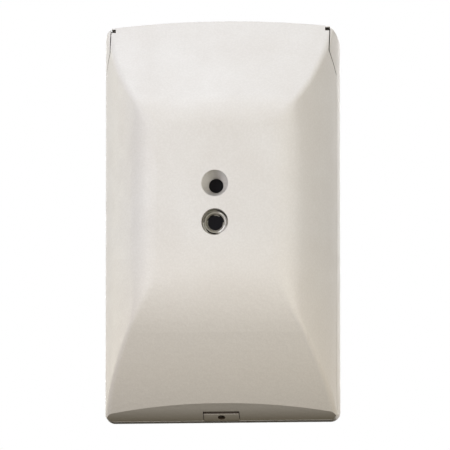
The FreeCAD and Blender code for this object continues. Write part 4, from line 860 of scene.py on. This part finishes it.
# Chips.
# Black moulded epoxy bodies with bent tinned leads on their sides, each soldered to the board,
# and a small white dot at the first lead.
# Top of the tinned feet over the board, in metres
FOOT_TOP = 0.00022
FOOT_LENGTH = 0.9
LEAD_SHEET = 0.15
# (reach, rise) of the middle of the bent strip
LEAD_BEND = [(-0.05, 0.82), (0.22, 0.82), (0.38, 0.74), (0.46, 0.5), (0.5, 0.3), (0.62, 0.19),
             (0.96, 0.17)]
LEAD_POOL = [(0.34, 0.0), (0.28, 0.04), (0.2, 0.12), (0.14, 0.2)]
POOL_REACH = 0.92
# (chip, leads on each side, leads on each end, pitch, dot from its middle)
CHIPS = [("processor", 7, 7, 0.8, (-2.6, 2.6)), ("amplifier", 4, 0, 1.27, (-1.2, 1.7)),
         ("regulator", 3, 0, 1.5, (-0.7, 1.5))]
DOT_PROFILE = [(0.36, -0.02), (0.36, 0.008), (0.28, 0.012)]


def add_lead(shape, x, z, way, width=0.34):
    """Bent strip that leaves a body in the direction way and lands on the board."""
    outward, across = Vector((way[0], way[1])), Vector((-way[1], way[0])) * width / 2
    sections = []
    for index, (reach, rise) in enumerate(LEAD_BEND):
        before = LEAD_BEND[max(index - 1, 0)]
        after = LEAD_BEND[min(index + 1, len(LEAD_BEND) - 1)]
        slope = Vector((after[0] - before[0], after[1] - before[1])).normalized()
        thick = Vector((slope.y, -slope.x)) * LEAD_SHEET / 2
        section = []
        for up, aside in ((1, 1), (1, -1), (-1, -1), (-1, 1)):
            spot = Vector((x, z)) + outward * (reach + thick.x * up) + across * aside
            section.append(shape.verts.new(on_board(spot.x, spot.y, rise + thick.y * up)))
        sections.append(section)
    join_rings(shape, sections)
    shape.faces.new(sections[0])
    shape.faces.new(sections[-1])


material, tree, skin, place = new_finish("chip_epoxy")
foot = graded(tree, part_of(tree, place, "Y"), 0.0, 1.0, BOARD_SIDE - FOOT_TOP,
              BOARD_SIDE - FOOT_TOP + 0.00002)
fine = noise(tree, place, 0.00025, 3.0)
epoxy = blended(tree, graded(tree, fine, 0.0, 1.0, 0.3, 0.7), linear(24, 24, 26),
                linear(36, 36, 38))
feed(tree, skin, {"Base Color": blended(tree, foot, epoxy, linear(196, 197, 197)),
                  "Metallic": foot, "Roughness": graded(tree, fine, 0.5, 0.66),
                  "Normal": raised(tree, fine, 0.00001, eased(tree, 0.00008))})
dress(material, *[chip[0] for chip in CHIPS])
dots = bmesh.new()
for chip, beside, at_ends, pitch, dot in CHIPS:
    middle_x, middle_z = seat(chip)
    half_x, half_z = half_size(chip)
    half_x -= FOOT_LENGTH
    half_z -= FOOT_LENGTH if at_ends else 0.0
    leads, joints = bmesh.new(), bmesh.new()
    for sign in (-1, 1):
        rows = [((middle_x + sign * half_x, middle_z), (sign, 0), beside),
                ((middle_x, middle_z + sign * half_z), (0, sign), at_ends)]
        for (x, z), way, count in rows:
            for index in range(count):
                shift = (index - (count - 1) / 2) * pitch
                spot = (x + shift * abs(way[1]), z + shift * abs(way[0]))
                add_lead(leads, *spot, way)
                add_turned(joints, spot[0] + way[0] * POOL_REACH, spot[1] + way[1] * POOL_REACH,
                           LEAD_POOL, (1 - 0.3 * abs(way[1]), 1 - 0.3 * abs(way[0])), 12)
    add_piece(chip + "_leads", leads, solder)
    add_piece(chip + "_solder", joints, solder)
    add_turned(dots, middle_x + dot[0], middle_z + dot[1],
               [(radius, top_of(chip) + rise) for radius, rise in DOT_PROFILE])
add_piece("corner_dots", dots, white_ink)


# Crystal.
# A drawn nickel-plated can, closed by a stamped base plate whose rim stands out all round.
FLANGE_RADIUS = 2.62
FLANGE_REACH = 3.0
# (rise, how far the rim is drawn in)
FLANGE_PROFILE = [(0.02, 0.0), (0.3, 0.0), (0.36, 0.08)]
FLANGE_STEPS = 40
crystal_nickel = plated_metal("crystal_nickel", linear(206, 204, 198), linear(186, 184, 178),
                              0.22, 0.0025)
dress(crystal_nickel, "crystal_can")
crystal_x, crystal_z = seat("crystal_can")
flange = bmesh.new()
rings = []
for rise, inset in FLANGE_PROFILE:
    ring = []
    for index in range(FLANGE_STEPS):
        turn = 2 * math.pi * (index + 0.5) / FLANGE_STEPS
        reach = FLANGE_RADIUS - inset
        centre = crystal_z + math.copysign(FLANGE_REACH, math.sin(turn))
        ring.append(flange.verts.new(on_board(crystal_x + reach * math.cos(turn),
                                              centre + reach * math.sin(turn), rise)))
    rings.append(ring)
join_rings(flange, rings)
flange.faces.new(rings[-1])
add_piece("crystal_flange", flange, crystal_nickel)


# Storage capacitor.
# A rolled capacitor in a bright aluminium can with a dark segment on its end. It stands on a
# square plastic foot and is soldered down by two tabs.
# Edge of the dark segment left of the middle, and top of the foot, in metres
SEGMENT_SIDE = 0.0013
FOOT_RISE = 0.00074
TAB_HALF = 0.55
TAB_ENDS = (3.3, 4.25)
TAB_RISE = (0.02, 0.24)
TAB_POOL = 4.3


def capacitor_can():
    """Bright can with a dark segment on its end, on a black plastic foot."""
    material = plated_metal("capacitor_aluminium", linear(198, 200, 203),
                            linear(176, 178, 182), 0.4, 0.002)
    tree = material.node_tree
    skin = tree.nodes["Principled BSDF"]
    place = node(tree, "TexCoord").outputs["Object"]
    side, depth = part_of(tree, place, "X"), part_of(tree, place, "Y")
    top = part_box("storage_capacitor")[0].y
    edge = capacitor_x / 1000 - SEGMENT_SIDE
    segment = product(tree, graded(tree, depth, 1.0, 0.0, top + 0.0001, top + 0.0004),
                      graded(tree, side, 1.0, 0.0, edge, edge + 0.00005))
    foot = graded(tree, depth, 0.0, 1.0, BOARD_SIDE - FOOT_RISE,
                  BOARD_SIDE - FOOT_RISE + 0.00004)
    dark = strongest(tree, segment, foot)
    bright = skin.inputs["Base Color"].links[0].from_socket
    feed(tree, skin, {"Base Color": blended(tree, dark, bright, linear(28, 28, 30)),
                      "Metallic": graded(tree, dark, 1.0, 0.0)})
    return material


capacitor_x, capacitor_z = seat("storage_capacitor")
dress(capacitor_can(), "storage_capacitor")
tabs = bmesh.new()
for sign in (-1, 1):
    add_slab(tabs, (capacitor_x - TAB_HALF, capacitor_x + TAB_HALF),
             sorted(capacitor_z + sign * end for end in TAB_ENDS), TAB_RISE, 0.06)
    add_turned(tabs, capacitor_x, capacitor_z + sign * TAB_POOL, LEAD_POOL, (2.2, 1.0), 16)
add_piece("capacitor_tabs", tabs, solder)


# Service header.
# Four gilt pins pressed into a black strip, each with a pointed tip.
PIN_PITCH = 2.54
# Top of the black strip over the board, in metres
STRIP_RISE = 0.00260
# Half the width of a tip at its foot and at its point, and its length
TIP_FOOT, TIP_POINT, TIP_LENGTH = 0.3, 0.17, 0.25
material, tree, skin, place = new_finish("header_finish")
pin = graded(tree, part_of(tree, place, "Y"), 1.0, 0.0, BOARD_SIDE - STRIP_RISE,
             BOARD_SIDE - STRIP_RISE + 0.00004)
fine = noise(tree, place, 0.0002)
strip = blended(tree, fine, linear(24, 24, 26), linear(38, 38, 40))
gold = blended(tree, fine, linear(226, 188, 112), linear(206, 166, 92))
feed(tree, skin, {"Base Color": blended(tree, pin, strip, gold), "Metallic": pin,
                  "Roughness": graded(tree, pin, 0.46, 0.26),
                  "Normal": raised(tree, fine, 0.00001, eased(tree, 0.00008))})
dress(material, "service_header")
header_x, header_z = seat("service_header")
header_top = top_of("service_header")
pin_tips = bmesh.new()
for index in range(4):
    pin_z = header_z + (index - 1.5) * PIN_PITCH
    rings = [[pin_tips.verts.new(on_board(header_x + i * half, pin_z + j * half, rise))
              for i, j in ((-1, -1), (1, -1), (1, 1), (-1, 1))]
             for half, rise in ((TIP_FOOT, header_top), (TIP_POINT, header_top + TIP_LENGTH))]
    join_rings(pin_tips, rings)
    pin_tips.faces.new(rings[-1])
add_piece("pin_tips", pin_tips, gilt)


# Legs of the switches.
# Tinned legs of the tamper switch and of the sensitivity block, bent out flat on the board.
# (switch, how far its legs stand above and below its middle, width)
LEGS = [("tamper_switch_body", 2.0, 0.7), ("switch_body", 3.4, 0.6)]
switch_legs = bmesh.new()
for switch, spread, width in LEGS:
    switch_x, switch_z = seat(switch)
    for sign in (-1, 1):
        for shift in (-spread, spread):
            add_lead(switch_legs, switch_x + sign * half_size(switch)[0], switch_z + shift,
                     (sign, 0), width)
add_piece("switch_legs", switch_legs, solder)


# Chip resistors and capacitors.
# Small ceramic blocks with tinned ends, soldered flat on the board.
CHIP_GRID = 3.0
# Steps of the grid, sideways and up, from the middle of the wall face
CHIP_STEPS = [(-3, 0), (-3, 1), (-3, -1), (4, 4), (5, 4), (6, 4), (4, 5), (-6, 5), (8, 4),
              (-2, 5), (3, 3), (8, 11), (-4, -2), (-3, -3), (3, 1), (4, 1), (3, 2), (-6, 10),
              (-6, 11), (9, 0), (5, 1)]
# Tinned end: how far out it reaches, its length, half its width and its height
END_REACH, END_LENGTH, END_HALF, END_RISE = 1.03, 0.42, 0.655, 0.63
END_POOL = [(0.62, -0.01), (0.5, 0.05), (0.34, 0.16), (0.22, 0.3), (0.12, 0.42)]


def ceramic(name, body, rim):
    """Fired ceramic with a slightly cloudy glaze."""
    material, tree, skin, place = new_finish(name)
    cloud = noise(tree, place, 0.0004)
    feed(tree, skin, {"Base Color": blended(tree, cloud, body, rim),
                      "Roughness": graded(tree, cloud, 0.35, 0.55),
                      "Normal": raised(tree, cloud, 0.00001, eased(tree, 0.00006))})
    return material


dress(ceramic("resistor_glaze", linear(26, 26, 28), linear(40, 40, 42)), "chip_resistors")
dress(ceramic("capacitor_ceramic", linear(168, 134, 96), linear(150, 116, 80)),
      "chip_capacitors")
ends, joints = bmesh.new(), bmesh.new()
for column, row in CHIP_STEPS:
    x, z = column * CHIP_GRID, row * CHIP_GRID
    for sign in (-1, 1):
        tip = x + sign * END_REACH
        add_slab(ends, sorted((tip, tip - sign * END_LENGTH)), (z - END_HALF, z + END_HALF),
                 (0.0, END_RISE), 0.05)
        add_turned(joints, tip + sign * 0.05, z, END_POOL, (0.75, 1.0), 16)
add_piece("tinned_ends", ends, solder)
add_piece("chip_solder", joints, solder)
